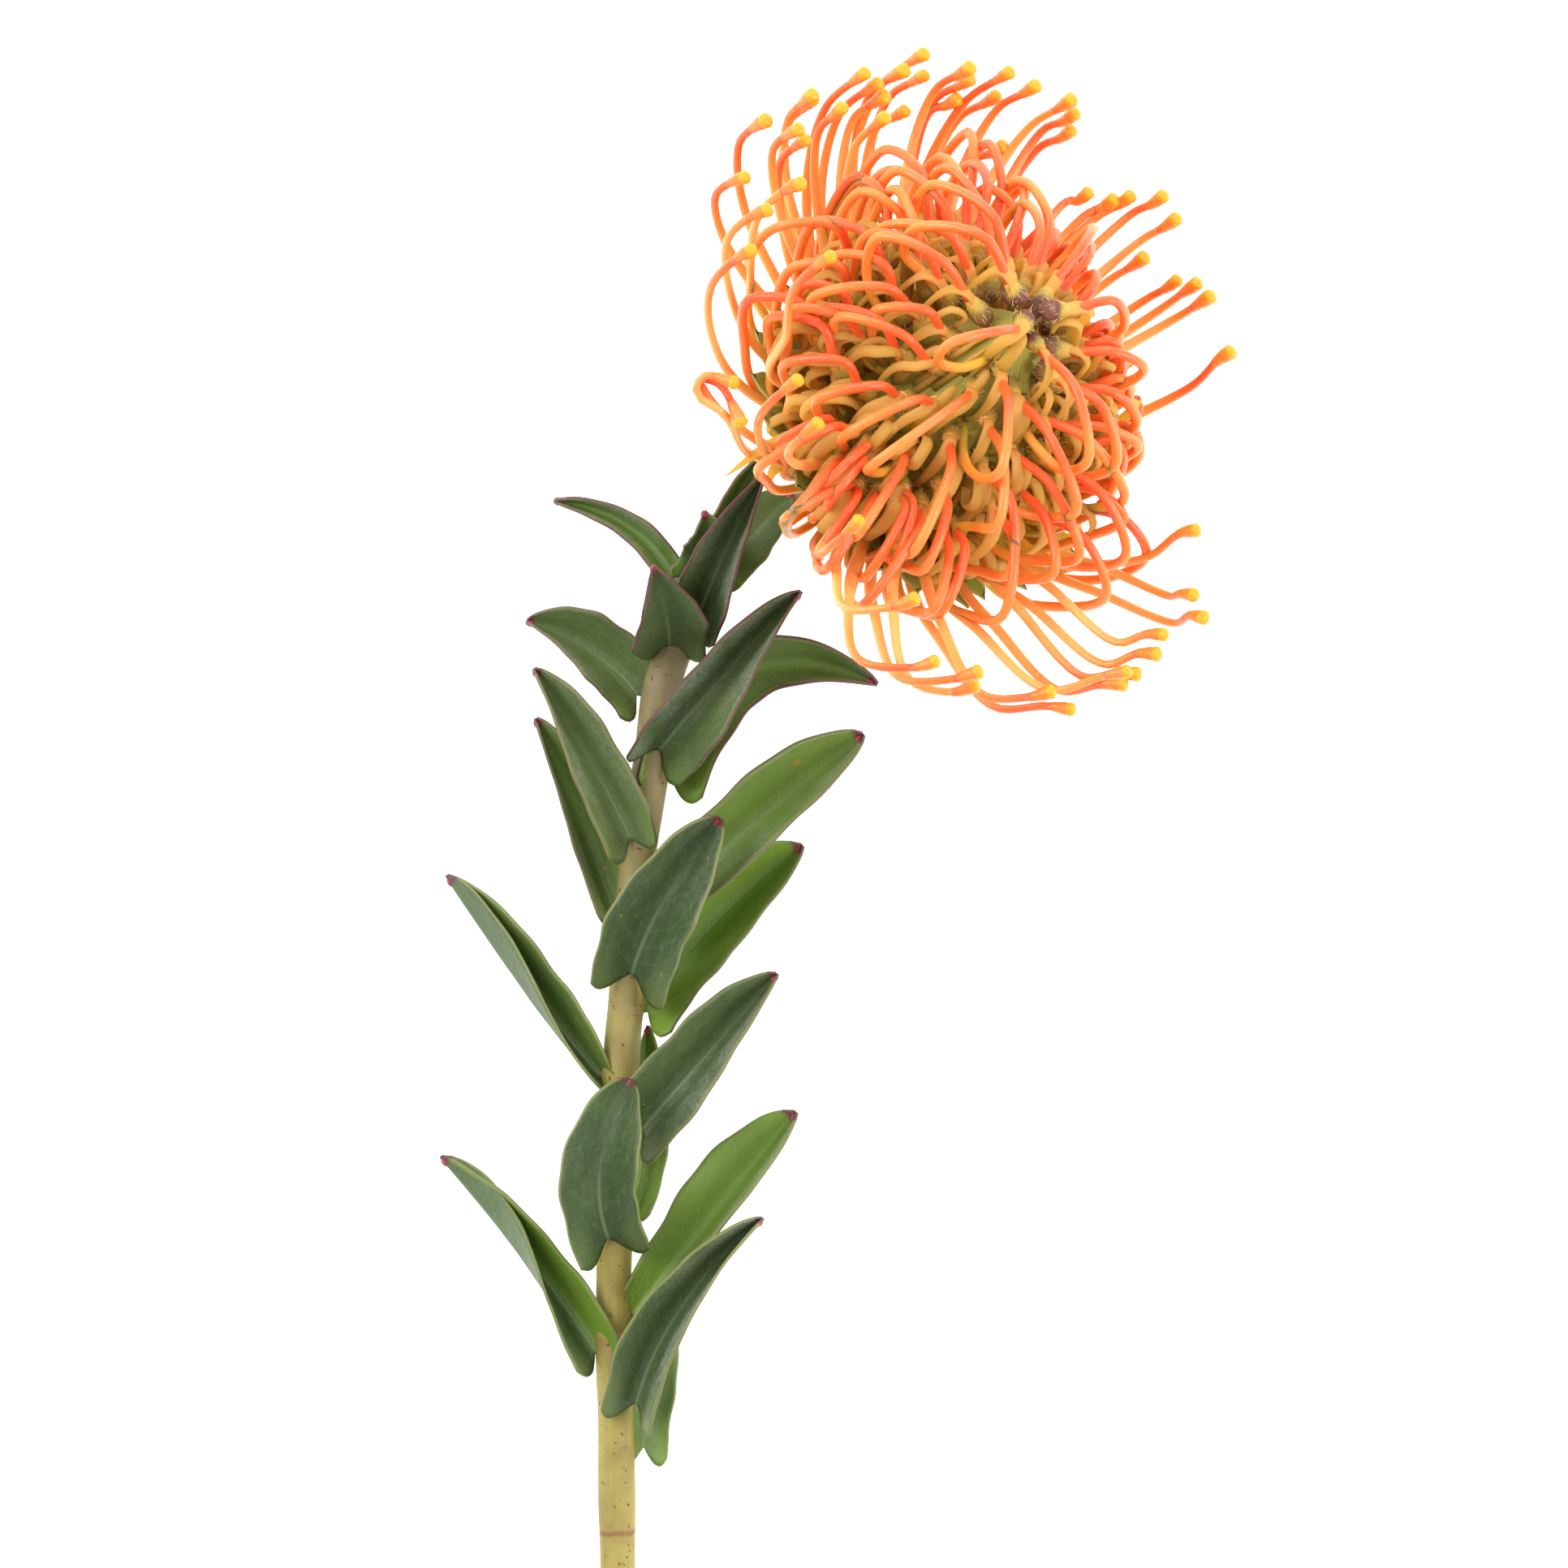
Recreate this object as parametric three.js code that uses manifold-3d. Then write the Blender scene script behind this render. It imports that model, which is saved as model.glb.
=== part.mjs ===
// Pincushion protea: one cut flowering stem that lies on a flat surface.
// Millimetres, +Y from the cut end towards the flower, +Z up. The surface is z = 0.
import * as THREE from 'three';
import { mergeVertices } from 'three/addons/utils/BufferGeometryUtils.js';
import Module from 'manifold-3d';

const wasm = await Module();
wasm.setup();

// Driving dimensions
const stemRadius = 2.8;
const neckNarrowing = 0.5;
const neckLength = 4;
const unevenness = 0.1;
const bulges = 60;
const seatGap = 0.3;
const leafThickness = 0.7;
const styleRadius = 0.8;
const presenterRadius = 1.5;
const presenterShare = 0.15;
const tipLengthening = 0.5;
const knobRadius = 1.7;
const rootDepth = 1.5;
const flattened = 0.55;
const curlWidth = 2.2;
const bractWidth = 3;
const thinHalf = 1;
const coreLength = 43;
const coreRadius = 19;
const coreWidest = 13;
const coreFoot = 4;
const heldStyles = 38;
const curls = 20;
const bracts = 14;
const goldenAngle = 137.508 * Math.PI / 180;
const surfaceSize = 400;
const surfaceDepth = 20;

// The point under the middle of the whole stem, which becomes the origin
const restPoint = new THREE.Vector3(8.1, -11.5, 0);

// Middle line of the stem, from the cut end to the underside of the flower head
const stemRoute = [
  [-25.6, -136, 2.4], [-25.6, -120.8, 2.6], [-25.9, -99.3, 3.8], [-26.2, -78, 5.1],
  [-25.3, -47.4, 6.6], [-24.1, -30.5, 7.3], [-22.5, -11.8, 8.1], [-20.4, 3.3, 8.7],
  [-19.4, 12, 9.2], [-17.2, 20, 9.5], [-11.4, 32, 9.7], [-5, 39.5, 9.7],
  [4.3, 44.2, 10],
];

// Flower head: the axis of its cone, and the directions across it
const headAxis = new THREE.Vector3(0.5, 0.5, 0.7).normalize();
const headBase = new THREE.Vector3(14.9, 48.2, 16.9);
const headNear = new THREE.Vector3(0, 0, 1).addScaledVector(headAxis, -headAxis.z).normalize();
const headSide = new THREE.Vector3().crossVectors(headAxis, headNear);
const headMiddle = 20;

// Open styles: where each tip lies as seen from above, and its rise over the head's middle
const openTips = [
  [22, 111.5, 20], [19, 109, 18], [22, 108.5, 12], [29, 109.5, 20], [29, 108, 14],
  [35, 109, 20], [39, 107, 20], [44.5, 105, 20], [45, 103, 16], [44.5, 100.5, 12],
  [33, 105.5, 12], [27, 105, 10], [19, 103, 8], [13, 108.5, 18], [5, 105, 18],
  [5, 104.5, 12], [9.5, 103, 20], [16, 105, 14], [15, 107, 16], [16, 101.5, 22],
  [-2, 101, 14], [3, 99.5, 20], [4, 98, 16], [3.5, 91, 24], [-5, 92, 18],
  [-1.5, 87, 22], [-4, 81, 20], [8, 80, 28], [34, 98, 6], [47, 91, 8],
  [51, 90, 9], [53.5, 90.5, 11], [58.5, 90.5, 15], [60.5, 87, 14], [55.5, 81, 9],
  [60.5, 77.5, 12], [63.5, 77, 16], [65.5, 75, 18], [68.5, 66.5, 20], [63, 39, 18],
  [62.5, 29, 14], [64, 25.5, 14], [58, 23, 16], [57, 20, 14], [52.5, 17.5, 14],
  [54, 17, 10], [52, 15.5, 8], [44, 11.5, 6], [41, 14.5, 10], [30, 17.5, 14],
  [29.5, 15.5, 10], [23.5, 19, 14], [-6.5, 60.5, 12], [-6, 54, 8], [3, 61.5, 20],
  [6, 55, 20], [12, 40.5, 18], [20.5, 28.5, 16],
];

// Loops that hang lowest, on the near side: their turn and share of the head
const hangingLoops = [
  [-0.12, 0.93], [0.08, 0.97], [0.2, 0.93], [0.36, 0.95], [0.6, 0.96], [-0.28, 0.92], [-0.2, 0.96],
  [-0.02, 0.99],
];

// How far the styles bow out, for their turn round the head in degrees
const openBows = [
  [-180, 0.97], [-125, 1], [-105, 0.99], [-85, 1.01], [-65, 1.03], [-50, 1.01], [0, 1.03], [45, 1],
  [54, 0.93], [60, 0.96], [66, 0.93], [110, 0.92], [180, 0.97],
];
const heldBows = [
  [-180, 0.84], [-135, 1], [-90, 0.95], [-45, 0.85], [0, 1], [25, 1.05], [50, 1.05], [90, 0.82],
  [110, 0.7], [130, 0.61], [150, 0.6], [180, 0.84],
];

// How far the middle of an open style swings aside, and how far a loop leans, in radians
const openSwings = [
  [-180, -0.03], [-150, -0.045], [-120, -0.035], [-100, 0], [0, 0], [26, 0.15], [62, 0.17],
  [69, 0.08], [75, 0], [83, -0.05], [91, 0.04], [142, 0.02], [150, -0.01], [158, -0.02],
  [180, -0.03],
];
const heldLeans = [
  [-180, 0.1], [-110, 0.05], [-60, -0.1], [-25, -0.4], [5, -0.05], [35, 0.42], [80, 0.2],
  [180, 0.1],
];

// Open styles that fold back sharply: the places their middle passes, as seen from above
const openFolds = {
  52: [[-9.5, 56.4], [-13.3, 59.2], [-12.2, 61.8]],
  53: [[-11, 58], [-12.6, 61.2], [-9.8, 60.6]],
};

// Leaves: foot, middle and tip of the midrib, half width, then how far the left
// and the right half are folded up from level, in degrees, at the foot and the tip.
// Last, the share of its length at which it is widest, and how wide its foot is
const leafRows = [
  [[-29, -87.5, 4.8], [-39.2, -73.2, 2.4], [-52.9, -57.4, 0.4], 7.6, [54, 165], [52, 70], [0.4, 0.76]],
  [[-22.6, -95, 7.2], [-15.5, -80, 12.6], [-3.2, -66.7, 12.5], 7.8, [40, 72], [66, 98], [0.38, 0.8]],
  [[-21.6, -102, 3.6], [-20, -88, 2.6], [-16.5, -73.5, 2.4], 4.6, [8, 30], [20, 60], [0.35, 0.85]],
  [[-22.8, -81.7, 5.8], [-10.5, -66.4, 5], [2, -50.5, 4], 6.9, [20, 14], [80, 80], [0.55, 0.48]],
  [[-27.1, -69.6, 9.2], [-28.1, -58, 15], [-23.5, -45.3, 14.5], 7.3, [38, 45], [38, 47], [0.4, 0.9]],
  [[-22.6, -64, 5.2], [-20.8, -54, 3.6], [-21, -37.2, 2.4], 3.5, [25, 50], [25, 50], [0.42, 0.78]],
  [[-21.7, -53, 8], [-12, -41.8, 10], [-1, -29.2, 8], 8.2, [38, 52], [54, 90], [0.32, 0.85]],
  [[-28.3, -45, 6.7], [-38.7, -32.2, 3.2], [-52, -14.1, 0.4], 7.8, [80, 140], [60, 56], [0.45, 0.45]],
  [[-23.3, -28.8, 10.7], [-18.4, -17.8, 17], [-9.8, -5.2, 17], 8.8, [40, 62], [40, 66], [0.42, 0.8]],
  [[-21, -35, 6.3], [-11.7, -22.7, 4.2], [2.9, -9.4, 2.5], 7.8, [28, 42], [48, 68], [0.5, 0.84]],
  [[-19.5, -19.5, 8.5], [-4.2, -5.6, 9], [12.3, 7.6, 7], 8.1, [42, 49], [56, 76], [0.52, 0.58]],
  [[-23.6, -8.4, 11.3], [-29.9, 3.7, 10.4], [-38.5, 17.7, 8.5], 8, [54, 98], [56, 64], [0.42, 0.75]],
  [[-26.6, -19.3, 7.2], [-31.6, -5.4, 2.8], [-38.3, 10.1, 0.4], 6.9, [72, 94], [30, 56], [0.36, 0.8]],
  [[-19, 5.6, 12], [-10.4, 15.4, 16], [2.7, 29.5, 15], 8.5, [69, 67], [25, 98], [0.4, 0.8]],
  [[-17.4, 0.8, 7.4], [-5.5, 17, 5], [14.4, 15.3, 3.5], 7.5, [46, 66], [36, 84], [0.42, 0.88]],
  [[-22.7, 13.7, 7.8], [-29.2, 19.9, 7.4], [-39.6, 25, 6.3], 7.1, [46, 95], [30, 46], [0.42, 0.73]],
  [[-17.6, 21.7, 12.8], [-18.2, 26.6, 19], [-20, 33.2, 24], 7.1, [24, 72], [22, 60], [0.42, 0.76]],
  [[-16.2, 30.3, 9.6], [-24, 39.6, 5.5], [-35.4, 43.6, 0.4], 4.4, [62, 85], [56, 88], [0.42, 0.78]],
  [[-13, 26, 12.8], [-8.9, 35.8, 18], [-3, 47.2, 20], 7.8, [48, 82], [58, 94], [0.42, 0.78]],
  [[-13.9, 32.8, 13.6], [-11.6, 37, 15], [-12.2, 41.5, 17], 4, [30, 50], [30, 50], [0.42, 0.78]],
  [[-10.8, 34.6, 6.8], [-8.2, 42.4, 5.2], [-4, 50, 5], 4, [60, 80], [20, 50], [0.42, 0.78]],
  [[-8.4, 33.2, 13], [-4, 39.2, 14], [1.2, 44.4, 13.6], 4.6, [10, 20], [30, 55], [0.42, 0.78]],
];
const lobeLength = 3;
const lobeAt = 0.7;
const lobeEnd = 0.35;
const tipWidth = 0.1;
const foldHalf = 0.35;
const foldSteps = 8;

function noise(seed) {
  const value = Math.sin(seed * 12.9898 + 78.233) * 43758.5453;
  return value - Math.floor(value);
}

function spread(seed, amount) {
  return (noise(seed) * 2 - 1) * amount;
}

function mix(from, to, share) {
  return from + (to - from) * share;
}

function ease(low, high, value) {
  return THREE.MathUtils.smoothstep(value, low, high);
}

// Turns a closed geometry into a solid, and a solid back into a geometry
function solid(geometry) {
  geometry.deleteAttribute('normal');
  geometry.deleteAttribute('uv');
  const merged = mergeVertices(geometry, 1e-5);
  return new wasm.Manifold(new wasm.Mesh({
    numProp: 3,
    vertProperties: new Float32Array(merged.attributes.position.array),
    triVerts: new Uint32Array(merged.index.array),
  }));
}

function surface(body) {
  const mesh = body.getMesh();
  const geometry = new THREE.BufferGeometry();
  geometry.setAttribute('position', new THREE.BufferAttribute(mesh.vertProperties, 3));
  geometry.setIndex(new THREE.BufferAttribute(mesh.triVerts, 1));
  geometry.computeVertexNormals();
  return geometry;
}

function largest(body) {
  const pieces = body.decompose();
  pieces.sort((a, b) => b.volume() - a.volume());
  return pieces[0];
}

function joined(bodies) {
  let row = bodies;
  while (row.length > 1) {
    const next = [];
    for (let i = 0; i < row.length; i += 2) {
      next.push(i + 1 < row.length ? row[i].add(row[i + 1]) : row[i]);
    }
    row = next;
  }
  return row[0];
}

// A rod bent along a curve. Its section is an ellipse, wide along `across`.
function rod(points, across, width, depth, sides, steps) {
  const curve = new THREE.CatmullRomCurve3(points, false, 'centripetal');
  const geometry = new THREE.CylinderGeometry(1, 1, 1, sides, steps);
  const position = geometry.attributes.position;
  const place = new THREE.Vector3();
  for (let i = 0; i < position.count; i++) {
    const share = Math.round((position.getY(i) + 0.5) * steps) / steps;
    const tangent = curve.getTangentAt(share);
    const wide = across.clone().addScaledVector(tangent, -tangent.dot(across)).normalize();
    const deep = new THREE.Vector3().crossVectors(wide, tangent);
    place.copy(curve.getPointAt(share));
    place.addScaledVector(wide, position.getX(i) * width(share));
    place.addScaledVector(deep, position.getZ(i) * depth(share));
    position.setXYZ(i, place.x, place.y, place.z);
  }
  return geometry;
}

function vector(row) {
  return new THREE.Vector3(row[0], row[1], row[2]);
}

// Stem: a round, slightly uneven rod with a flat cut end that narrows under the head
function makeStem(grow) {
  const points = stemRoute.map(vector);
  for (const below of [neckLength, seatGap]) {
    points.push(headBase.clone().addScaledVector(headAxis, -below));
  }
  const radius = (share) => {
    const narrowing = neckNarrowing * ease(0.9, 1, share);
    return stemRadius + grow - narrowing + unevenness * Math.sin(share * bulges);
  };
  return solid(rod(points, new THREE.Vector3(0, 0, 1), radius, radius, 12, 30));
}

function midrib(row) {
  const [foot, middle, tip] = [row[0], row[1], row[2]].map(vector);
  const pull = middle.multiplyScalar(2).addScaledVector(foot, -0.5).addScaledVector(tip, -0.5);
  return new THREE.QuadraticBezierCurve3(foot, pull, tip);
}

// Half width of a blade: broad at the foot, widest near the middle, blunt at the tip
function halfWidth(row, share) {
  const [widestAt, footWidth] = row[6];
  if (share < widestAt) {
    return mix(footWidth, 1, Math.sin(share / widestAt * Math.PI / 2));
  }
  const past = (share - widestAt) / (1 - widestAt);
  return Math.max(tipWidth, Math.pow(1 - Math.pow(past, 2.6), 0.65));
}

// Middle surface of a leaf: share runs from foot to tip, across from -1 to 1
function leafPoint(row, curve, share, across) {
  const tangent = curve.getTangent(share);
  const level = new THREE.Vector3(-tangent.y, tangent.x, 0).normalize();
  const above = new THREE.Vector3().crossVectors(tangent, level);
  const left = mix(row[4][0], row[4][1], share) * Math.PI / 180;
  const right = mix(row[5][0], row[5][1], share) * Math.PI / 180;
  const place = curve.getPoint(share);
  const width = row[3] * halfWidth(row, share);
  const step = width * across / foldSteps;
  for (let i = 0; i < foldSteps; i++) {
    const at = across * (i + 0.5) / foldSteps;
    const slope = mix(-right, left, ease(-foldHalf, foldHalf, at));
    place.addScaledVector(level, step * Math.cos(slope));
    place.addScaledVector(above, step * Math.sin(slope));
  }
  const reach = Math.abs(across);
  const inner = Math.sin(Math.min(1, reach / lobeAt) * Math.PI / 2);
  const lobe = inner * Math.cos(Math.max(0, reach - lobeAt) / (1 - lobeAt));
  const near = Math.max(0, 1 - share / lobeEnd);
  place.addScaledVector(tangent, -lobeLength * lobe * near * near);
  return place;
}

// Leaf: one closed blade, with both faces split into triangles alike
function makeLeaf(row) {
  const columns = 4;
  const rows = 6;
  const apart = 0.02;
  const sideways = 0.1;
  const curve = midrib(row);
  const sheet = new THREE.PlaneGeometry(2, 1, columns, rows);
  const grid = sheet.attributes.position;
  const count = grid.count;
  const places = [];
  for (const side of [0.5, -0.5]) {
    for (let i = 0; i < count; i++) {
      const across = -grid.getX(i);
      const share = grid.getY(i) + 0.5;
      const place = leafPoint(row, curve, share, across);
      const low = Math.max(0, share - apart);
      const high = Math.min(1, share + apart);
      const along = leafPoint(row, curve, high, across).sub(leafPoint(row, curve, low, across));
      const over = leafPoint(row, curve, share, Math.max(-1, across - sideways));
      over.sub(leafPoint(row, curve, share, Math.min(1, across + sideways)));
      const facing = new THREE.Vector3().crossVectors(over, along).normalize();
      place.addScaledVector(facing, side * leafThickness);
      place.z = Math.max(place.z, 0);
      places.push(place.x, place.y, place.z);
    }
  }
  const faces = [];
  const index = sheet.index.array;
  for (let i = 0; i < index.length; i += 3) {
    faces.push(index[i], index[i + 1], index[i + 2]);
    faces.push(count + index[i], count + index[i + 2], count + index[i + 1]);
  }
  const rim = [];
  const stride = columns + 1;
  for (let i = 0; i < rows; i++) {
    rim.push(i * stride);
  }
  for (let i = 0; i < columns; i++) {
    rim.push(rows * stride + i);
  }
  for (let i = rows; i > 0; i--) {
    rim.push(i * stride + columns);
  }
  for (let i = columns; i > 0; i--) {
    rim.push(i);
  }
  rim.forEach((here, i) => {
    const next = rim[(i + 1) % rim.length];
    faces.push(next, here, count + here, next, count + here, count + next);
  });
  const geometry = new THREE.BufferGeometry();
  geometry.setAttribute('position', new THREE.Float32BufferAttribute(places, 3));
  geometry.setIndex(faces);
  return solid(geometry);
}

// A place on the flower head: height along its axis, distance from it, and turn
function headPoint(height, reach, turn) {
  const place = headBase.clone().addScaledVector(headAxis, height);
  place.addScaledVector(headNear, reach * Math.cos(turn));
  place.addScaledVector(headSide, reach * Math.sin(turn));
  return place;
}

function aside(turn) {
  const place = new THREE.Vector3().addScaledVector(headNear, -Math.sin(turn));
  return place.addScaledVector(headSide, Math.cos(turn));
}

// Radius of the head's dense middle: the cone with the crowd of curled cases on it
function coreAt(height) {
  if (height < coreWidest) {
    return mix(coreFoot, coreRadius, Math.sin(height / coreWidest * Math.PI / 2));
  }
  const past = Math.min(1, (height - coreWidest) / (coreLength - coreWidest));
  return coreRadius * Math.pow(1 - past * past, 0.6);
}

function makeCore() {
  const rings = 7;
  const sides = 12;
  const profile = [new THREE.Vector2(0, 0)];
  for (let i = 0; i <= rings; i++) {
    const height = i / rings * (coreLength - 1);
    profile.push(new THREE.Vector2(coreAt(height), height));
  }
  profile.push(new THREE.Vector2(0, coreLength));
  const geometry = new THREE.LatheGeometry(profile, sides);
  geometry.applyMatrix4(new THREE.Matrix4().makeBasis(headSide, headAxis, headNear));
  geometry.translate(headBase.x, headBase.y, headBase.z);
  return solid(geometry);
}

// What the surface stops is pressed flat on it
function pressed(points, least) {
  points.forEach((point) => { point.z = Math.max(point.z, least); });
  return points;
}

// Value for this turn in a table of turns, in degrees, and values
function valueAt(table, turn) {
  const turns = turn / (2 * Math.PI);
  const degrees = (turns - Math.round(turns)) * 360;
  const next = Math.max(1, table.findIndex(([at]) => at >= degrees));
  const [low, first] = table[next - 1];
  const [high, second] = table[next];
  return mix(first, second, ease(low, high, degrees));
}

// Open style: leaves the rim sideways, bows up and ends in a thick yellow tip. Its middle
// also swings a little to one side.
// Each row gives the tip as seen from above and its rise over the head's middle.
function makeOpenStyle(row, number) {
  const [x, y, rise] = row;
  const middle = headPoint(headMiddle, 0, 0);
  const along = (x - middle.x) * headAxis.x + (y - middle.y) * headAxis.y;
  const flat = headAxis.x * headAxis.x + headAxis.y * headAxis.y;
  const near = (along - rise * flat) / (headNear.x * headAxis.x + headNear.y * headAxis.y);
  const side = (x - middle.x) * headSide.x + (y - middle.y) * headSide.y;
  const turn = Math.atan2(side, near);
  const reach = Math.hypot(side, near);
  const top = headMiddle + rise;
  const start = 3 + 13 * (number * 0.618 % 1);
  const bow = valueAt(openBows, turn);
  const drawnIn = 0.16 * ease(0, 0.45, turn) * (1 - ease(1.2, 1.7, turn));
  const swing = valueAt(openSwings, turn);
  const points = [
    headPoint(start, coreAt(start) - rootDepth, turn - 1.5 * swing),
    headPoint(mix(start, top, 0.12), 29 * bow, turn - 1.5 * swing),
    headPoint(mix(start, top, 0.38), reach * (0.88 - drawnIn) * bow, turn - 1.5 * swing),
    headPoint(mix(start, top, 0.7), (reach + 1) * bow, turn - swing),
    headPoint(top - 3, reach * (0.25 + 0.75 * bow) + 1, turn - 0.3 * swing),
    headPoint(top, reach + tipLengthening, turn),
  ];
  if (number in openFolds) {
    const fold = openFolds[number].map(([foldX, foldY]) => vector([foldX, foldY, points[5].z - 2]));
    points.splice(2, 3, ...fold);
  }
  pressed(points, flattened);
  const thick = (share) => (share > 1 - presenterShare ? presenterRadius : styleRadius);
  return solid(rod(points, aside(turn), thick, thick, 3, 6));
}

// Held style: a loop that bows out from the core, leans and comes back to the knob that
// still holds its tip, with the bud case that carries the knob
function makeHeldStyle(number, turn, share) {
  const lower = Math.max(0, Math.cos(turn));
  const start = Math.max(1, mix(coreLength - 4, 9 - 5 * lower, share));
  const root = coreAt(start);
  const bow = valueAt(heldBows, turn) + spread(number + 0.4, 0.08);
  const outHeight = mix(45, 25 - 10 * lower, share);
  const outReach = mix(21, 41, share) * bow;
  const knobHeight = mix(48.5, 27 - 8 * lower, share);
  const knobReach = mix(3.4, 26, Math.pow(share, 1.4));
  const lean = valueAt(heldLeans, turn) * (1.2 - share);
  const points = pressed([
    headPoint(start, root - rootDepth, turn),
    headPoint(start + 2, mix(root, outReach, 0.55), turn + lean * 0.6),
    headPoint(mix(start, outHeight, 0.6), outReach - 1.5 - 6 * lower * share, turn + lean),
    headPoint(outHeight + 4, outReach, turn + lean),
    headPoint(knobHeight + 5, mix(knobReach, outReach, 0.55), turn + lean * 0.5),
    headPoint(knobHeight, knobReach, turn),
    headPoint(mix(start, knobHeight, 0.4), root - 2, turn),
  ], flattened);
  const thick = (at) => (at > 0.7 && at < 0.9 ? knobRadius : styleRadius);
  return solid(rod(points, aside(turn), thick, thick, 3, 8));
}

// Curled case of an open style: a ribbon that rolls back
function makeCurl(number) {
  const turn = (number + 0.5) * goldenAngle;
  const start = mix(6, 26, number / curls);
  const root = coreAt(start);
  const points = pressed([
    headPoint(start, root - rootDepth, turn),
    headPoint(start + 5, root + 4, turn),
    headPoint(start + 2, root + 7, turn),
    headPoint(start - 2, root + 4, turn),
  ], 2);
  return solid(rod(points, aside(turn), () => curlWidth, () => thinHalf, 3, 4));
}

// Bracts that cup the underside of the head
function makeBract(number) {
  const turn = number * goldenAngle;
  const start = 1 + 5 * number / bracts;
  const points = [
    headPoint(start - 2, coreAt(start) - 3, turn),
    headPoint(start + 2, coreAt(start + 2) + 0.6, turn),
    headPoint(start + 7, coreAt(start + 7) + 1, turn),
  ];
  return solid(rod(points, aside(turn), (at) => bractWidth * (1 - at * 0.67), () => thinHalf, 3, 2));
}

function repeat(count, make) {
  return Array.from({ length: count }, (_, number) => make(number));
}

const flower = new THREE.Group();

function addPiece(name, body, colour, roughness) {
  const material = new THREE.MeshStandardMaterial({ color: colour, roughness, metalness: 0 });
  const mesh = new THREE.Mesh(surface(body), material);
  mesh.name = name;
  flower.add(mesh);
}

const under = new THREE.BoxGeometry(surfaceSize, surfaceSize, surfaceDepth);
under.translate(0, 0, -surfaceDepth / 2);
const surfaceBlock = solid(under);
const stem = makeStem(0).subtract(surfaceBlock);
const stemRoom = makeStem(seatGap);
const head = largest(joined([
  makeCore(),
  ...repeat(bracts, makeBract),
  ...openTips.map(makeOpenStyle),
  ...repeat(heldStyles, (number) => (
    makeHeldStyle(number, number * goldenAngle, Math.sqrt((number + 0.5) / heldStyles))
  )),
  ...hangingLoops.map(([turn, share], i) => makeHeldStyle(heldStyles + i, turn, share)),
  ...repeat(curls, makeCurl),
]).subtract(surfaceBlock));

addPiece('stem', stem, 0x9a9a55, 0.7);
addPiece('flower_head', head, 0xf07a2c, 0.5);
leafRows.forEach((row, i) => {
  const leaf = largest(makeLeaf(row).subtract(stemRoom));
  addPiece(`leaf_${String(i + 1).padStart(2, '0')}`, leaf, 0x44702c, 0.55);
});

flower.position.copy(restPoint).negate();

export default flower;
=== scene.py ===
import math

import bmesh
import bpy
from bpy.props import FloatProperty, FloatVectorProperty, IntProperty, PointerProperty
from mathutils import Matrix, Vector


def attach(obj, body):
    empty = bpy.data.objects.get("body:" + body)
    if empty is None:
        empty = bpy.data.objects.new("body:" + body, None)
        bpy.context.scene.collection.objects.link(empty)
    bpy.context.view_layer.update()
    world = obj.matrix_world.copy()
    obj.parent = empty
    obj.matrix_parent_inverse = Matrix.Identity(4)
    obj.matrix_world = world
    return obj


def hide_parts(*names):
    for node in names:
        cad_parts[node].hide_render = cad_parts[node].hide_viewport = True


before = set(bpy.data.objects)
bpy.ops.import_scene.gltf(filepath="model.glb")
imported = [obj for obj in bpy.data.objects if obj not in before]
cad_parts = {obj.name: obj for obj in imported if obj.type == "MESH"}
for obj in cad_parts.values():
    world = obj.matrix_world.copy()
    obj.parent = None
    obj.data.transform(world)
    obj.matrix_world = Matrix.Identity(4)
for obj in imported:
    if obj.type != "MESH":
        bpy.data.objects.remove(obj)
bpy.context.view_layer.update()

bl_info = {
    "name": "Pincushion protea",
    "version": (1, 0, 0),
    "blender": (4, 5, 0),
    "location": "3D View > Sidebar > Protea",
    "description": "Builds a cut pincushion protea stem, piece by piece, and the floor it lies on",
    "category": "Add Mesh",
}

# Lengths are in millimetres where nothing else is said, and are kept in metres in the finished
# part. REST is the point under the middle of the stem, which is the origin of that part
MM = 0.001
REST = Vector((8.1, -11.5, 0.0))
GOLDEN_ANGLE = math.radians(137.508)

# Numbers that scatter the values of noise evenly; they stand for nothing on the flower
NOISE_TURN = 12.9898
NOISE_START = 78.233
NOISE_SCALE = 43758.5453

# Pieces of curve between two points of a route, before it is cut evenly
CURVE_CUTS = 10

# How low the skin of the stem, of a rod and of a bead may come over the surface, and how low the
# middle line of a style or strap, a curl, a knob and a hair
STEM_FLOOR = 0.01
ROD_FLOOR = 0.02
STYLE_LEAST = 0.9
CURL_LEAST = 1.2
KNOB_LEAST = 1.9
HAIR_LEAST = 0.1

# Middle line of the stem, from the cut end to the underside of the flower head
STEM_ROUTE = (
    (-25.6, -135.5, 2.4), (-25.6, -120.8, 2.6), (-25.9, -99.3, 3.8), (-26.2, -78, 5.1),
    (-25.3, -47.4, 6.6), (-24.1, -30.5, 7.3), (-22.5, -11.8, 8.1), (-20.4, 3.3, 8.7),
    (-19.4, 12, 9.2), (-17.2, 20, 9.5), (-11.4, 32, 9.7), (-5, 39.5, 9.7),
    (4.3, 44.2, 10),
)

# How much the stem thins towards the head, how uneven it is, how far and how high the pad of
# each leaf swells, and how thick the bark shows at the cut
STEM_THINNING = 0.5
STEM_UNEVEN = 0.1
PAD_REACH = 5
PAD_HEIGHT = 0.5
BARK_THICKNESS = 0.35

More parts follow.
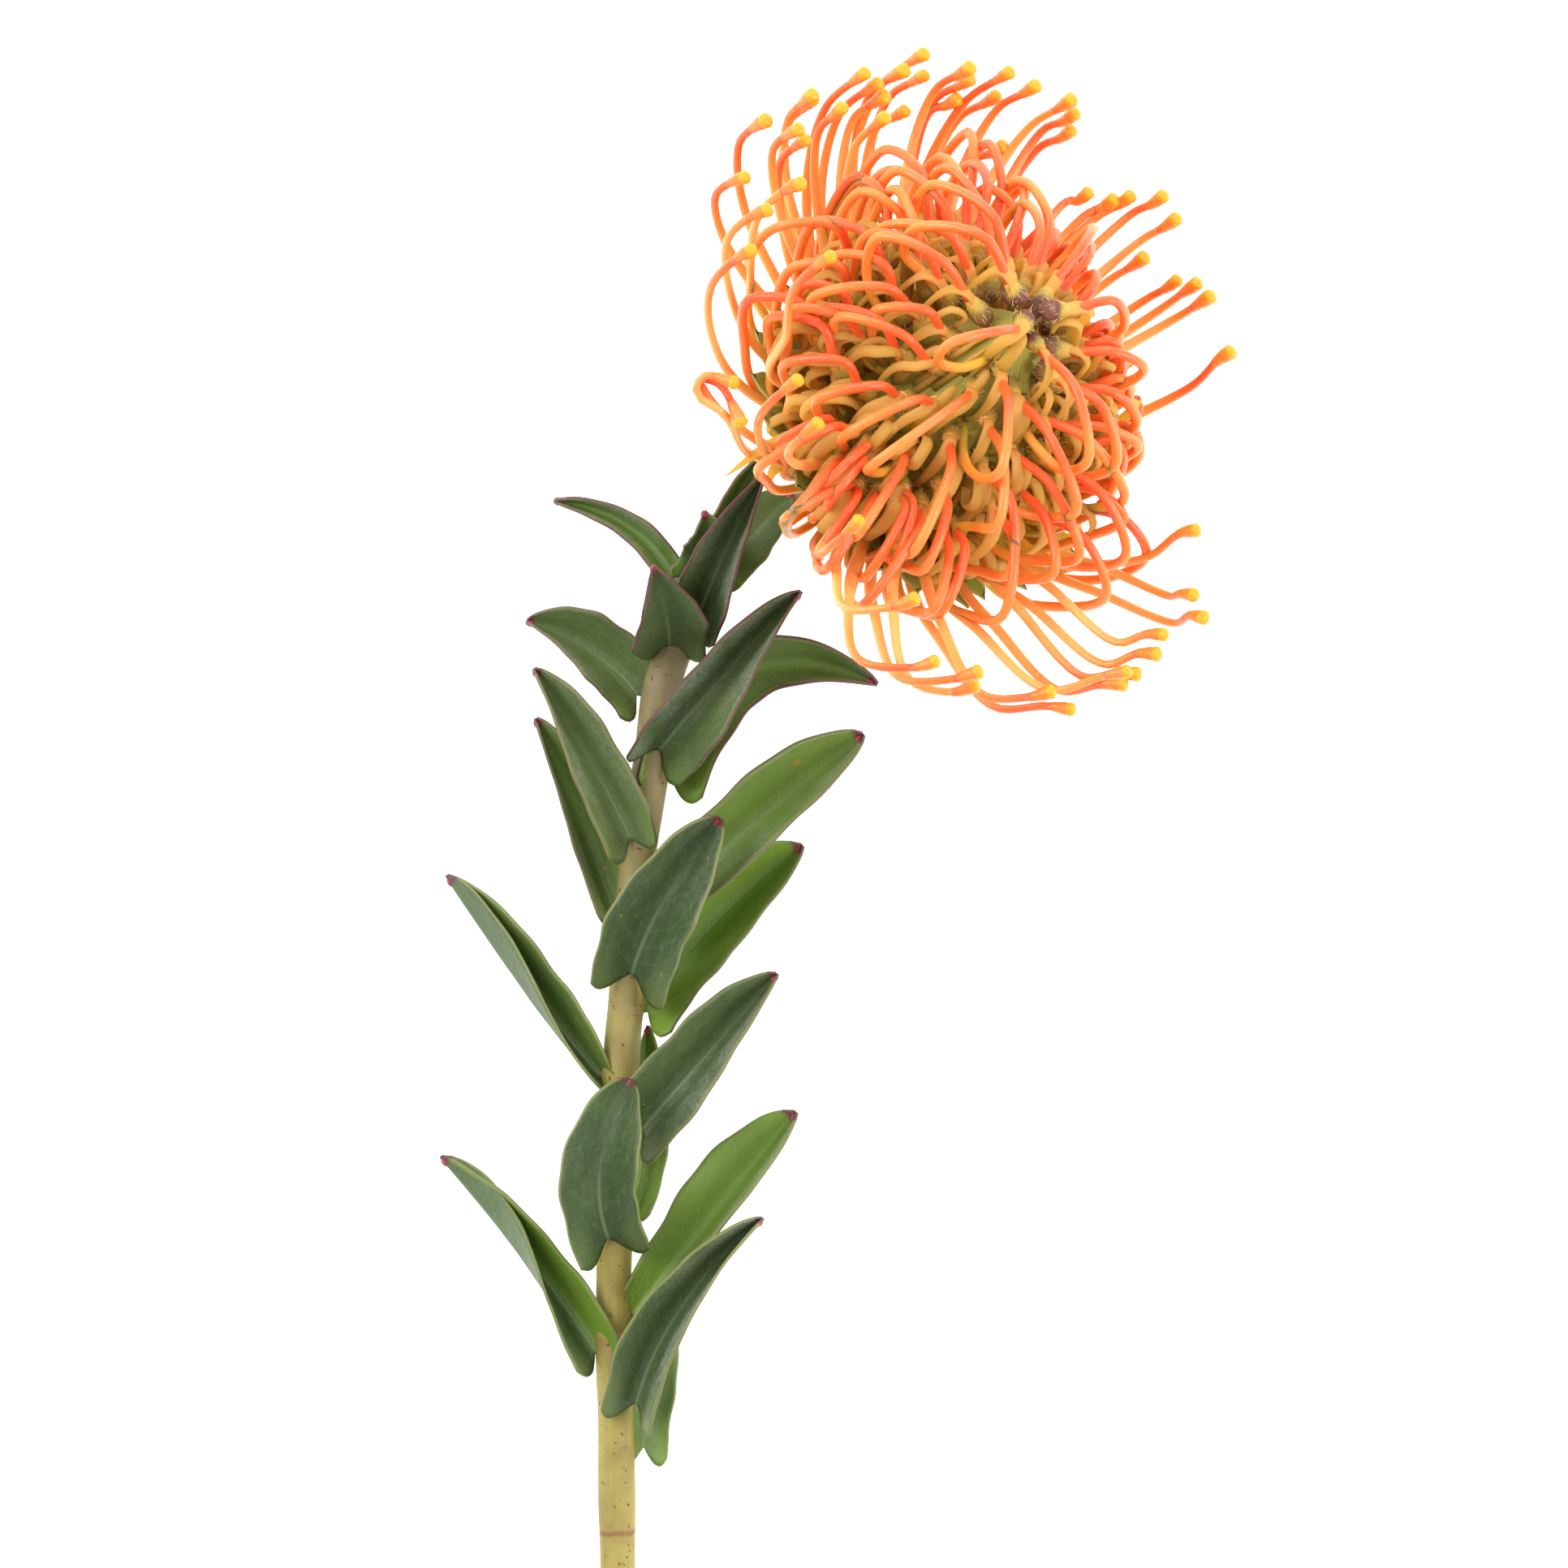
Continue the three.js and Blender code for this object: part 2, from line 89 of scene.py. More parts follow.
# Flower head: the axis of its cone, the directions across it, and the height of its middle
HEAD_AXIS = Vector((0.5, 0.5, 0.7)).normalized()
HEAD_BASE = Vector((14.9, 48.2, 16.9))
HEAD_NEAR = (Vector((0, 0, 1)) - HEAD_AXIS * HEAD_AXIS.z).normalized()
HEAD_SIDE = HEAD_AXIS.cross(HEAD_NEAR)
HEAD_MIDDLE = 20

# Cone of the head: the height at which it is widest, its radius at the stem, and how deep the
# foot of a style or strap sits in it
CONE_WIDEST = 10
CONE_FOOT = 4
ROOT_DEPTH = 0.5

# Open styles: where each tip lies as seen from above, and its rise over the head's middle.
# Each style runs on past that place by TIP_LENGTHENING
OPEN_TIPS = (
    (22, 111.5, 20), (19, 109, 18), (22, 108.5, 12), (29, 109.5, 20), (29, 108, 14),
    (35, 109, 20), (39, 107, 20), (44.5, 105, 20), (45, 103, 16), (44.5, 100.5, 12),
    (33, 105.5, 12), (27, 105, 10), (19, 103, 8), (13, 108.5, 18), (5, 105, 18),
    (5, 104.5, 12), (9.5, 103, 20), (16, 105, 14), (15, 107, 16), (16, 101.5, 22),
    (-2, 101, 14), (3, 99.5, 20), (4, 98, 16), (3.5, 91, 24), (-5, 92, 18),
    (-1.5, 87, 22), (-4, 81, 20), (8, 80, 28), (34, 98, 6), (47, 91, 8),
    (51, 90, 9), (53.5, 90.5, 11), (58.5, 90.5, 15), (60.5, 87, 14), (55.5, 81, 9),
    (60.5, 77.5, 12), (63.5, 77, 16), (65.5, 75, 18), (68.5, 66.5, 20), (63, 39, 18),
    (62.5, 29, 14), (64, 25.5, 14), (58, 23, 16), (57, 20, 14), (52.5, 17.5, 14),
    (54, 17, 10), (52, 15.5, 8), (44, 11.5, 6), (41, 14.5, 10), (30, 17.5, 14),
    (29.5, 15.5, 10), (23.5, 19, 14), (-6.5, 60.5, 12), (-6, 54, 8), (3, 61.5, 20),
    (6, 55, 20), (12, 40.5, 18), (20.5, 28.5, 16),
)
TIP_LENGTHENING = 0.5

# How far the styles bow out, for their turn round the head in degrees
OPEN_BOWS = (
    (-180, 0.97), (-125, 1), (-105, 0.99), (-85, 1.01), (-65, 1.03), (-50, 1.01), (0, 1.03),
    (45, 1), (54, 0.93), (60, 0.96), (66, 0.93), (110, 0.92), (180, 0.97),
)
HELD_BOWS = (
    (-180, 0.84), (-135, 1), (-90, 0.95), (-45, 0.85), (0, 1), (25, 1.05), (50, 1.05), (90, 0.82),
    (110, 0.7), (130, 0.61), (150, 0.6), (180, 0.84),
)

# How far the middle of an open style swings aside, and how far a loop leans, in radians
OPEN_SWINGS = (
    (-180, -0.03), (-150, -0.045), (-120, -0.035), (-100, 0), (0, 0), (26, 0.15), (62, 0.17),
    (69, 0.08), (75, 0), (83, -0.05), (91, 0.04), (142, 0.02), (150, -0.01), (158, -0.02),
    (180, -0.03),
)
HELD_LEANS = (
    (-180, 0.1), (-110, 0.05), (-60, -0.1), (-25, -0.4), (5, -0.05), (35, 0.42), (80, 0.2),
    (180, 0.1),
)

# Open styles that fold back sharply: the places their middle passes, as seen from above
OPEN_FOLDS = {
    52: ((-9.5, 56.4), (-13.3, 59.2), (-12.2, 61.8)),
    53: ((-11, 58), (-12.6, 61.2), (-9.8, 60.6)),
}

# Loops that hang lowest, on the near side: their turn and share of the head
HANGING_LOOPS = (
    (-0.12, 0.93), (0.08, 0.97), (0.2, 0.93), (0.36, 0.95), (0.6, 0.96), (-0.28, 0.92), (-0.2, 0.96),
    (-0.02, 0.99),
)

# Loose strips on the near side: three places on each, as seen from above and with their
# height along the head's axis, and its half width
LOOSE_STRIPS = (
    ((30.8, 57, 30), (29.4, 49, 25), (24.8, 41, 20), 0.85),
    ((20.4, 48.4, 23), (22.4, 45, 21.5), (24.6, 41.4, 20), 0.55),
    ((24.8, 42, 20), (22.4, 40, 18.5), (20.4, 37.2, 17), 0.5),
    ((5, 54.6, 14), (-2, 51.8, 12), (-8.8, 46.9, 9), 0.9),
    ((1.5, 49.4, 9), (-1.6, 47.8, 9), (-2.4, 45.6, 8), 1.1),
    ((27.4, 52.4, 24), (25.2, 53.4, 23), (22.6, 55.8, 21), 1.2),
)

# Half the thickness of a strap. Florets beyond this share of the head have no free strap beside
# the knob, and of the others this part has none
STRAP_HALF_DEPTH = 0.26
FREE_STRAPS_TO = 0.72
FREE_STRAPS_MISSING = 0.4

# The florets are parted on the near side, between two shares of the head. The parting has its
# middle at this turn and reaches this far to either side, in radians
PARTING_FROM = 0.12
PARTING_TO = 0.44
PARTING_TURN = -0.3
PARTING_HALF = 0.6

# Thickness of a bract under the head
BRACT_THICKNESS = 0.45

# How far the end of an open style reaches into its pollen presenter
PRESENTER_OVERLAP = 0.6

# Half thickness of a pollen presenter and of a knob over the share of their length
PRESENTER_SHAPE = (
    (0, 0.55), (0.3, 0.72), (0.58, 0.9), (0.66, 0.92), (0.7, 0.86), (0.78, 1.0), (0.9, 0.96),
    (0.97, 0.66), (1.0, 0.3),
)
KNOB_SHAPE = ((0, 0.5), (0.2, 0.7), (0.5, 0.98), (0.72, 1.0), (0.88, 0.8), (0.96, 0.5), (1, 0.2))

# Hairs of a knob: how many there are, and how thick each is at its root
HAIRS_EACH = 30
HAIR_RADIUS = 0.055

# Leaves: foot, middle and tip of the midrib, half width, then how far the left and the right
# half are folded up from level, in degrees, at the foot and the tip. Last, the share of its
# length at which it is widest, and how wide its foot is beside that
LEAF_ROWS = (
    ((-29, -87.5, 4.8), (-39.2, -73.2, 2.4), (-52.9, -57.4, 0.4), 7.6, (54, 165), (52, 70), (0.4, 0.76)),
    ((-22.6, -95, 7.2), (-15.5, -80, 12.6), (-3.2, -66.7, 12.5), 7.8, (40, 72), (66, 98), (0.38, 0.8)),
    ((-21.6, -102, 3.6), (-20, -88, 2.6), (-16.5, -73.5, 2.4), 4.6, (8, 30), (20, 60), (0.35, 0.85)),
    ((-22.8, -81.7, 5.8), (-10.5, -66.4, 5), (2, -50.5, 4), 6.9, (20, 14), (80, 80), (0.55, 0.48)),
    ((-27.1, -69.6, 9.2), (-28.1, -58, 15), (-23.5, -45.3, 14.5), 7.3, (38, 45), (38, 47), (0.4, 0.9)),
    ((-22.6, -64, 5.2), (-20.8, -54, 3.6), (-21, -37.2, 2.4), 3.5, (25, 50), (25, 50), (0.42, 0.78)),
    ((-21.7, -53, 8), (-12, -41.8, 10), (-1, -29.2, 8), 8.2, (38, 52), (54, 90), (0.32, 0.85)),
    ((-28.3, -45, 6.7), (-38.7, -32.2, 3.2), (-52, -14.1, 0.4), 7.8, (80, 140), (60, 56), (0.45, 0.45)),
    ((-23.3, -28.8, 10.7), (-18.4, -17.8, 17), (-9.8, -5.2, 17), 8.8, (40, 62), (40, 66), (0.42, 0.8)),
    ((-21, -35, 6.3), (-11.7, -22.7, 4.2), (2.9, -9.4, 2.5), 7.8, (28, 42), (48, 68), (0.5, 0.84)),
    ((-19.5, -19.5, 8.5), (-4.2, -5.6, 9), (12.3, 7.6, 7), 8.1, (42, 49), (56, 76), (0.52, 0.58)),
    ((-23.6, -8.4, 11.3), (-29.9, 3.7, 10.4), (-38.5, 17.7, 8.5), 8, (54, 98), (56, 64), (0.42, 0.75)),
    ((-26.6, -19.3, 7.2), (-31.6, -5.4, 2.8), (-38.3, 10.1, 0.4), 6.9, (72, 94), (30, 56), (0.36, 0.8)),
    ((-19, 5.6, 12), (-10.4, 15.4, 16), (2.7, 29.5, 15), 8.5, (69, 67), (25, 98), (0.4, 0.8)),
    ((-17.4, 0.8, 7.4), (-5.5, 17, 5), (14.4, 15.3, 3.5), 7.5, (46, 66), (36, 84), (0.42, 0.88)),
    ((-22.7, 13.7, 7.8), (-29.2, 19.9, 7.4), (-39.6, 25, 6.3), 7.1, (46, 95), (30, 46), (0.42, 0.73)),
    ((-17.6, 21.7, 12.8), (-18.2, 26.6, 19), (-20, 33.2, 24), 7.1, (24, 72), (22, 60), (0.42, 0.76)),
    ((-16.2, 30.3, 9.6), (-24, 39.6, 5.5), (-35.4, 43.6, 0.4), 4.4, (62, 85), (56, 88), (0.42, 0.78)),
    ((-13, 26, 12.8), (-8.9, 35.8, 18), (-3, 47.2, 20), 7.8, (48, 82), (58, 94), (0.42, 0.78)),
    ((-13.9, 32.8, 13.6), (-11.6, 37, 15), (-12.2, 41.5, 17), 4, (30, 50), (30, 50), (0.42, 0.78)),
    ((-10.8, 34.6, 6.8), (-8.2, 42.4, 5.2), (-4, 50, 5), 4, (60, 80), (20, 50), (0.42, 0.78)),
    ((-8.4, 33.2, 13), (-4, 39.2, 14), (1.2, 44.4, 13.6), 4.6, (10, 20), (30, 55), (0.42, 0.78)),
)

# Looks of each leaf: how brightly its left and right half are painted with light that comes
# through the blade from behind, how red its margin is, and how much silver felt it keeps, which
# is partly painted sheen
LEAF_LOOKS = (
    (0.1, 0.95, 0.15, 0.15), (0.15, 0.15, 0.2, 1.0), (0.7, 0.6, 0.1, 0.3), (0.95, 0.85, 0.2, 0.8),
    (0.05, 0.0, 0.1, 0.35), (0.9, 0.9, 0.1, 0.1), (0.15, 0.1, 0.3, 0.9), (0.0, 0.6, 0.1, 0.1),
    (0.0, 0.0, 0.2, 0.6), (1.0, 0.95, 0.4, 0.35), (0.75, 0.65, 0.5, 0.8), (0.45, 0.45, 0.5, 0.9),
    (0.6, 0.7, 0.6, 0.7), (0.0, 0.25, 0.9, 0.9), (0.6, 0.65, 1.0, 0.5), (0.4, 0.3, 0.7, 0.6),
    (0.2, 0.2, 1.0, 0.9), (0.8, 0.6, 0.9, 0.7), (0.1, 0.15, 1.0, 1.0), (0.4, 0.4, 0.6, 0.6),
    (0.45, 0.4, 0.6, 0.3), (0.45, 0.5, 0.6, 0.3),
)

# Faces of a leaf: how pale each is, how much of its felt and its painted sheen it shows, and how rough
# it is
LEAF_FACES = (
    ("leaf upper face", 0.0, 0.9, 0.47), ("leaf underside", 0.2, 1.0, 0.5),
    ("leaf margin", 0.0, 0.2, 0.45),
)

# Foot of a leaf: how far its two lobes reach back, where across each half they are longest, and
# the share of the leaf over which they fade
LOBE_LENGTH = 3
LOBE_AT = 0.7
LOBE_END = 0.35

# The fold along the midrib is rounded over this share of each half, and bent in these steps
FOLD_HALF = 0.35
FOLD_STEPS = 8

# How far the wall of a leaf stays over the surface, and the shares of its length where the red
# bead sits and from where it points
LEAF_CLEARANCE = 0.15
BEAD_AT = 0.975
BEAD_FROM = 0.93

# Stage, in metres and watts: half the floor's width, its grey and its glow, the even light of
# the sky, and each soft window with its place beside the stem, its size and its power
FLOOR_HALF = 3
FLOOR_GREY = (0.86, 0.86, 0.86, 1.0)
FLOOR_GLOW = 0.8
SKY_STRENGTH = 0.8
WHITE = (1.0, 1.0, 1.0, 1.0)
WINDOWS = (
    ("left window", (-0.75, 0.35, 0.75), 0.7, 9.0),
    ("right window", (0.8, -0.1, 0.6), 0.6, 6.5),
    ("top window", (0.1, 0.9, 0.6), 0.6, 4.0),
)

# Camera, in metres: its height over the floor and the width that its picture takes in there
CAMERA_HEIGHT = 4.0
PICTURE_WIDTH = 241.5 * MM


def noise(seed):
    """An even spread of values from 0 to 1, always the same for the same seed."""
    value = math.sin(seed * NOISE_TURN + NOISE_START) * NOISE_SCALE
    return value - math.floor(value)


def spread(seed, amount):
    """A value between minus amount and amount."""
    return (noise(seed) * 2 - 1) * amount


def mix(start, end, share):
    """The value at a share of the way from start to end."""
    return start + (end - start) * share


def ease(low, high, value):
    """0 up to low, 1 from high on, and a smooth rise between them."""
    share = min(1.0, max(0.0, (value - low) / (high - low)))
    return share * share * (3 - 2 * share)


def profile(rows, share):
    """Height over share of a polyline of (share, height) rows, eased between them."""
    for (low, first), (high, second) in zip(rows, rows[1:]):
        if share <= high:
            return mix(first, second, ease(low, high, share))
    return rows[-1][1]


def curve(points):
    """Close places on a centripetal curve through the points, and how far along it each one is."""
    ends = [points[0] * 2 - points[1], *points, points[-1] * 2 - points[-2]]
    least = 1e-4
    places = []
    for before, start, end, after in zip(ends, ends[1:], ends[2:], ends[3:]):
        lead = max(least, math.sqrt((start - before).length))
        span = max(least, math.sqrt((end - start).length))
        tail = max(least, math.sqrt((after - end).length))
        leave = ((start - before) / lead - (end - before) / (lead + span) + (end - start) / span) * span
        arrive = ((end - start) / span - (after - start) / (span + tail) + (after - end) / tail) * span
        for cut in range(CURVE_CUTS):
            t = cut / CURVE_CUTS
            place = start * (2 * t ** 3 - 3 * t ** 2 + 1) + leave * (t ** 3 - 2 * t ** 2 + t)
            place += end * (3 * t ** 2 - 2 * t ** 3) + arrive * (t ** 3 - t ** 2)
            places.append(place)
    places.append(points[-1].copy())
    lengths = [0.0]
    for here, there in zip(places, places[1:]):
        lengths.append(lengths[-1] + (there - here).length)
    return places, lengths


def route_length(points):
    """Length of the curve through the points."""
    return curve(points)[1][-1]


def smooth_path(points, steps, first=0.0, last=1.0):
    """Evenly spaced places on the curve through the points, between two shares of its length."""
    places, lengths = curve(points)
    least = 1e-6
    path = []
    index = 0
    for step in range(steps + 1):
        wanted = lengths[-1] * mix(first, last, step / steps)
        while index < len(places) - 2 and lengths[index + 1] < wanted:
            index += 1
        gap = max(least, lengths[index + 1] - lengths[index])
        path.append(places[index].lerp(places[index + 1], (wanted - lengths[index]) / gap))
    return path


def straight_rod(name, sides, steps):
    """A closed round rod, one unit long and cut into rings: the blank that every rod is bent from."""
    bm = bmesh.new()
    bmesh.ops.create_cone(bm, cap_ends=True, segments=sides, radius1=1, radius2=1, depth=1)
    long_edges = [e for e in bm.edges if abs(e.verts[0].co.z - e.verts[1].co.z) > 0.5]
    bmesh.ops.subdivide_edges(bm, edges=long_edges, cuts=steps - 1, use_grid_fill=True)
    blank = bpy.data.meshes.new(name)
    bm.to_mesh(blank)
    bm.free()
    return blank, steps


class Piece:
    """One piece in the making: its bmesh, and the values that its finish reads at each vertex."""

    def __init__(self, *values):
        self.bm = bmesh.new()
        self.layers = {name: self.bm.verts.layers.float.new(name) for name in values}

    def add_blank(self, blank):
        """Adds a copy of the blank, and gives its vertices."""
        count = len(blank.vertices)
        self.bm.from_mesh(blank)
        self.bm.verts.ensure_lookup_table()
        return self.bm.verts[-count:]

    def add_rod(self, blank, route, across, width, depth=None, cup=0.0, floor=ROD_FLOOR,
                first=0.0, last=1.0, **values):
        """Bends a blank along the route, between two shares of its length. Its section is an
        ellipse, wide along across: width gives its half width over the share of the rod, and
        depth its half depth, where that is another. A cup bends the section into a channel.
        The surface that the stem lies on stops it at floor."""
        mesh, steps = blank
        path = smooth_path(route, steps, first, last)
        frames = []
        for ring, place in enumerate(path):
            tangent = (path[min(ring + 1, steps)] - path[max(ring - 1, 0)]).normalized()
            wide = (across - tangent * tangent.dot(across)).normalized()
            frames.append((place, wide, wide.cross(tangent)))
        for vert in self.add_blank(mesh):
            ring = round((vert.co.z + 0.5) * steps)
            share = ring / steps
            place, wide, deep = frames[ring]
            x, y = vert.co.x, vert.co.y
            half = width(share)
            sink = cup * (1 - x * x)
            vert.co = place + wide * (x * half) + deep * (y * (depth or half) + sink)
            vert.co.z = max(vert.co.z, floor)
            vert[self.layers["along"]] = share
            if "across" in self.layers:
                vert[self.layers["across"]] = x
            for name, value in values.items():
                vert[self.layers[name]] = value

    def finish(self, name, slot, finishes, nodes=()):
        """Puts the piece in the part's frame, in metres, and lets it ride on the part."""
        to_part = Matrix.Scale(MM, 4) @ Matrix.Translation(-REST)
        bmesh.ops.transform(self.bm, matrix=to_part, verts=self.bm.verts)
        for face in self.bm.faces:
            face.smooth = True
        mesh = bpy.data.meshes.new(name)
        self.bm.to_mesh(mesh)
        self.bm.free()
        for material in finishes:
            mesh.materials.append(material)
        piece = bpy.data.objects.new(name, mesh)
        bpy.context.scene.collection.objects.link(piece)
        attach(piece, "root")
        if nodes:
            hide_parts(*nodes)
        return piece


class Finish:
    """A procedural material in the making, with a short word for each kind of node it uses."""

    def __init__(self, name, roughness):
        self.material = bpy.data.materials.new(name)
        self.material.use_nodes = True
        self.nodes = self.material.node_tree.nodes
        self.links = self.material.node_tree.links
        self.nodes.clear()
        self.output = self.nodes.new("ShaderNodeOutputMaterial")
        self.skin = self.nodes.new("ShaderNodeBsdfPrincipled")
        self.skin.inputs["Roughness"].default_value = roughness
        self.links.new(self.skin.outputs["BSDF"], self.output.inputs["Surface"])

    def place(self):
        """The place on the piece."""
        return self.nodes.new("ShaderNodeTexCoord").outputs["Object"]

    def value(self, name):
        """A value that the piece holds at each vertex."""
        node = self.nodes.new("ShaderNodeAttribute")
        node.attribute_name = name
        return node.outputs["Fac"]

    def feed(self, socket, source):
        """Links a socket to another one, or sets it to a plain value."""
        if isinstance(source, bpy.types.NodeSocket):
            self.links.new(source, socket)
        else:
            socket.default_value = source

    def maths(self, operation, first, second=0.0, clamp=False):
        """The result of a Math node."""
        node = self.nodes.new("ShaderNodeMath")
        node.operation = operation
        node.use_clamp = clamp
        self.feed(node.inputs[0], first)
        self.feed(node.inputs[1], second)
        return node.outputs[0]

    def plus(self, first, second, clamp=False):
        return self.maths("ADD", first, second, clamp)

    def minus(self, first, second):
        return self.maths("SUBTRACT", first, second)

    def times(self, first, second):
        return self.maths("MULTIPLY", first, second)

    def stretch(self, scale, turn=(0, 0, 0)):
        """The place on the piece, scaled and turned, for a pattern that runs one way."""
        node = self.nodes.new("ShaderNodeMapping")
        node.inputs["Scale"].default_value = scale
        node.inputs["Rotation"].default_value = turn
        self.links.new(self.place(), node.inputs["Vector"])
        return node.outputs["Vector"]

    def cloud(self, scale, detail=3.0, roughness=0.55, where=None):
        """Soft, uneven patches with values round 0.5."""
        node = self.nodes.new("ShaderNodeTexNoise")
        node.inputs["Scale"].default_value = scale
        node.inputs["Detail"].default_value = detail
        node.inputs["Roughness"].default_value = roughness
        self.links.new(where or self.place(), node.inputs["Vector"])
        return node.outputs["Fac"]

    def vector(self, x, y, z=0.0):
        """A place made of three values, for a pattern that follows the piece."""
        node = self.nodes.new("ShaderNodeCombineXYZ")
        for socket, source in zip(node.inputs, (x, y, z)):
            self.feed(socket, source)
        return node.outputs["Vector"]

    def band(self, source, low, high):
        """0 below low, 1 above high, and a smooth rise between them."""
        node = self.nodes.new("ShaderNodeMapRange")
        node.interpolation_type = "SMOOTHSTEP"
        node.inputs["From Min"].default_value = low
        node.inputs["From Max"].default_value = high
        self.links.new(source, node.inputs["Value"])
        return node.outputs["Result"]

    def ramp(self, source, *stops):
        """A colour that runs through the (position, colour) stops."""
        node = self.nodes.new("ShaderNodeValToRGB")
        elements = node.color_ramp.elements
        while len(elements) < len(stops):
            elements.new(0.5)
        for element, (position, colour) in zip(elements, stops):
            element.position = position
            element.color = (*colour, 1.0)
        self.links.new(source, node.inputs["Fac"])
        return node.outputs["Color"]

    def blend(self, share, first, second):
        """The first colour, with this share of the second over it."""
        node = self.nodes.new("ShaderNodeMix")
        node.data_type = "RGBA"
        self.feed(node.inputs["Factor"], share)
        for socket, source in ((node.inputs["A"], first), (node.inputs["B"], second)):
            if not isinstance(source, bpy.types.NodeSocket):
                source = (*source, 1.0)
            self.feed(socket, source)
        return node.outputs["Result"]

    def bump(self, height, strength, distance):
        """Fine relief, distance deep in millimetres."""
        node = self.nodes.new("ShaderNodeBump")
        node.inputs["Strength"].default_value = strength
        node.inputs["Distance"].default_value = distance * MM
        self.links.new(height, node.inputs["Height"])
        self.links.new(node.outputs["Normal"], self.skin.inputs["Normal"])

    def flesh(self, weight, depth):
        """Lets light wander inside the thick flesh; red goes deepest."""
        self.skin.inputs["Subsurface Weight"].default_value = weight
        self.skin.inputs["Subsurface Radius"].default_value = (1.0, 0.55, 0.2)
        self.skin.inputs["Subsurface Scale"].default_value = depth * MM

    def colour(self, source, light_through=0.0, through=None):
        """The colour, and how much light passes through the thin flesh, in which colour."""
        self.feed(self.skin.inputs["Base Color"], source)
        if light_through:
            glow = self.nodes.new("ShaderNodeBsdfTranslucent")
            self.feed(glow.inputs["Color"], through or source)
            both = self.nodes.new("ShaderNodeMixShader")
            both.inputs["Fac"].default_value = light_through
            self.links.new(self.skin.outputs["BSDF"], both.inputs[1])
            self.links.new(glow.outputs["BSDF"], both.inputs[2])
            self.links.new(both.outputs["Shader"], self.output.inputs["Surface"])
        return self.material


def length_property(name, description, default):
    """A length that is given in millimetres and kept in metres."""
    return FloatProperty(
        name=name, description=description, default=default * MM, min=0.0, unit="LENGTH"
    )


def colour_property(name, description, default):
    """A colour that is given as it looks on screen, from 0 to 255, and kept as linear light."""
    linear = [c / 255 / 12.92 if c < 11 else ((c / 255 + 0.055) / 1.055) ** 2.4 for c in default]
    return FloatVectorProperty(
        name=name, description=description, default=linear, size=3, min=0.0, max=1.0, subtype="COLOR"
    )


class ProteaSizes(bpy.types.PropertyGroup):
    """Sizes of the stem's pieces."""

    stem_radius: length_property("Stem radius", "Half the thickness of the stem", 2.8)
    leaf_thickness: length_property("Leaf thickness", "Thickness of a blade", 0.44)
    leaf_midrib: length_property("Leaf midrib", "Thickness of a blade at the foot of its midrib", 1.0)
    leaf_bead: length_property("Leaf bead", "Half length of the red bead at a leaf's tip", 0.85)
    receptacle_radius: length_property("Receptacle radius", "Half the width of the green cone", 16)
    receptacle_length: length_property("Receptacle length", "Length of the green cone", 44)
    style_radius: length_property("Style radius", "Half the thickness of a style", 0.76)
    presenter_radius: length_property("Presenter radius", "Half the thickness of a presenter", 1.18)
    presenter_length: length_property("Presenter length", "Length of a presenter", 4.6)
    strap_width: length_property("Strap half width", "Half the width of a knob's strap", 0.9)
    knob_radius: length_property("Knob radius", "Half the thickness of a bud case's knob", 1.62)
    knob_length: length_property("Knob length", "Length of a bud case's knob", 5.0)
    hair_length: length_property("Hair length", "Length of the longest hairs on the knobs", 1.5)
    held_styles: IntProperty(
        name="Held styles", description="Looped styles over the head, those in the parting counted",
        default=92, min=1,
    )
    bare_strips: IntProperty(
        name="Bare strips", description="Straw-coloured strips over the bare part of the cone",
        default=14, min=0,
    )
    bracts: IntProperty(name="Bracts", description="Felted bracts under the head", default=140, min=1)


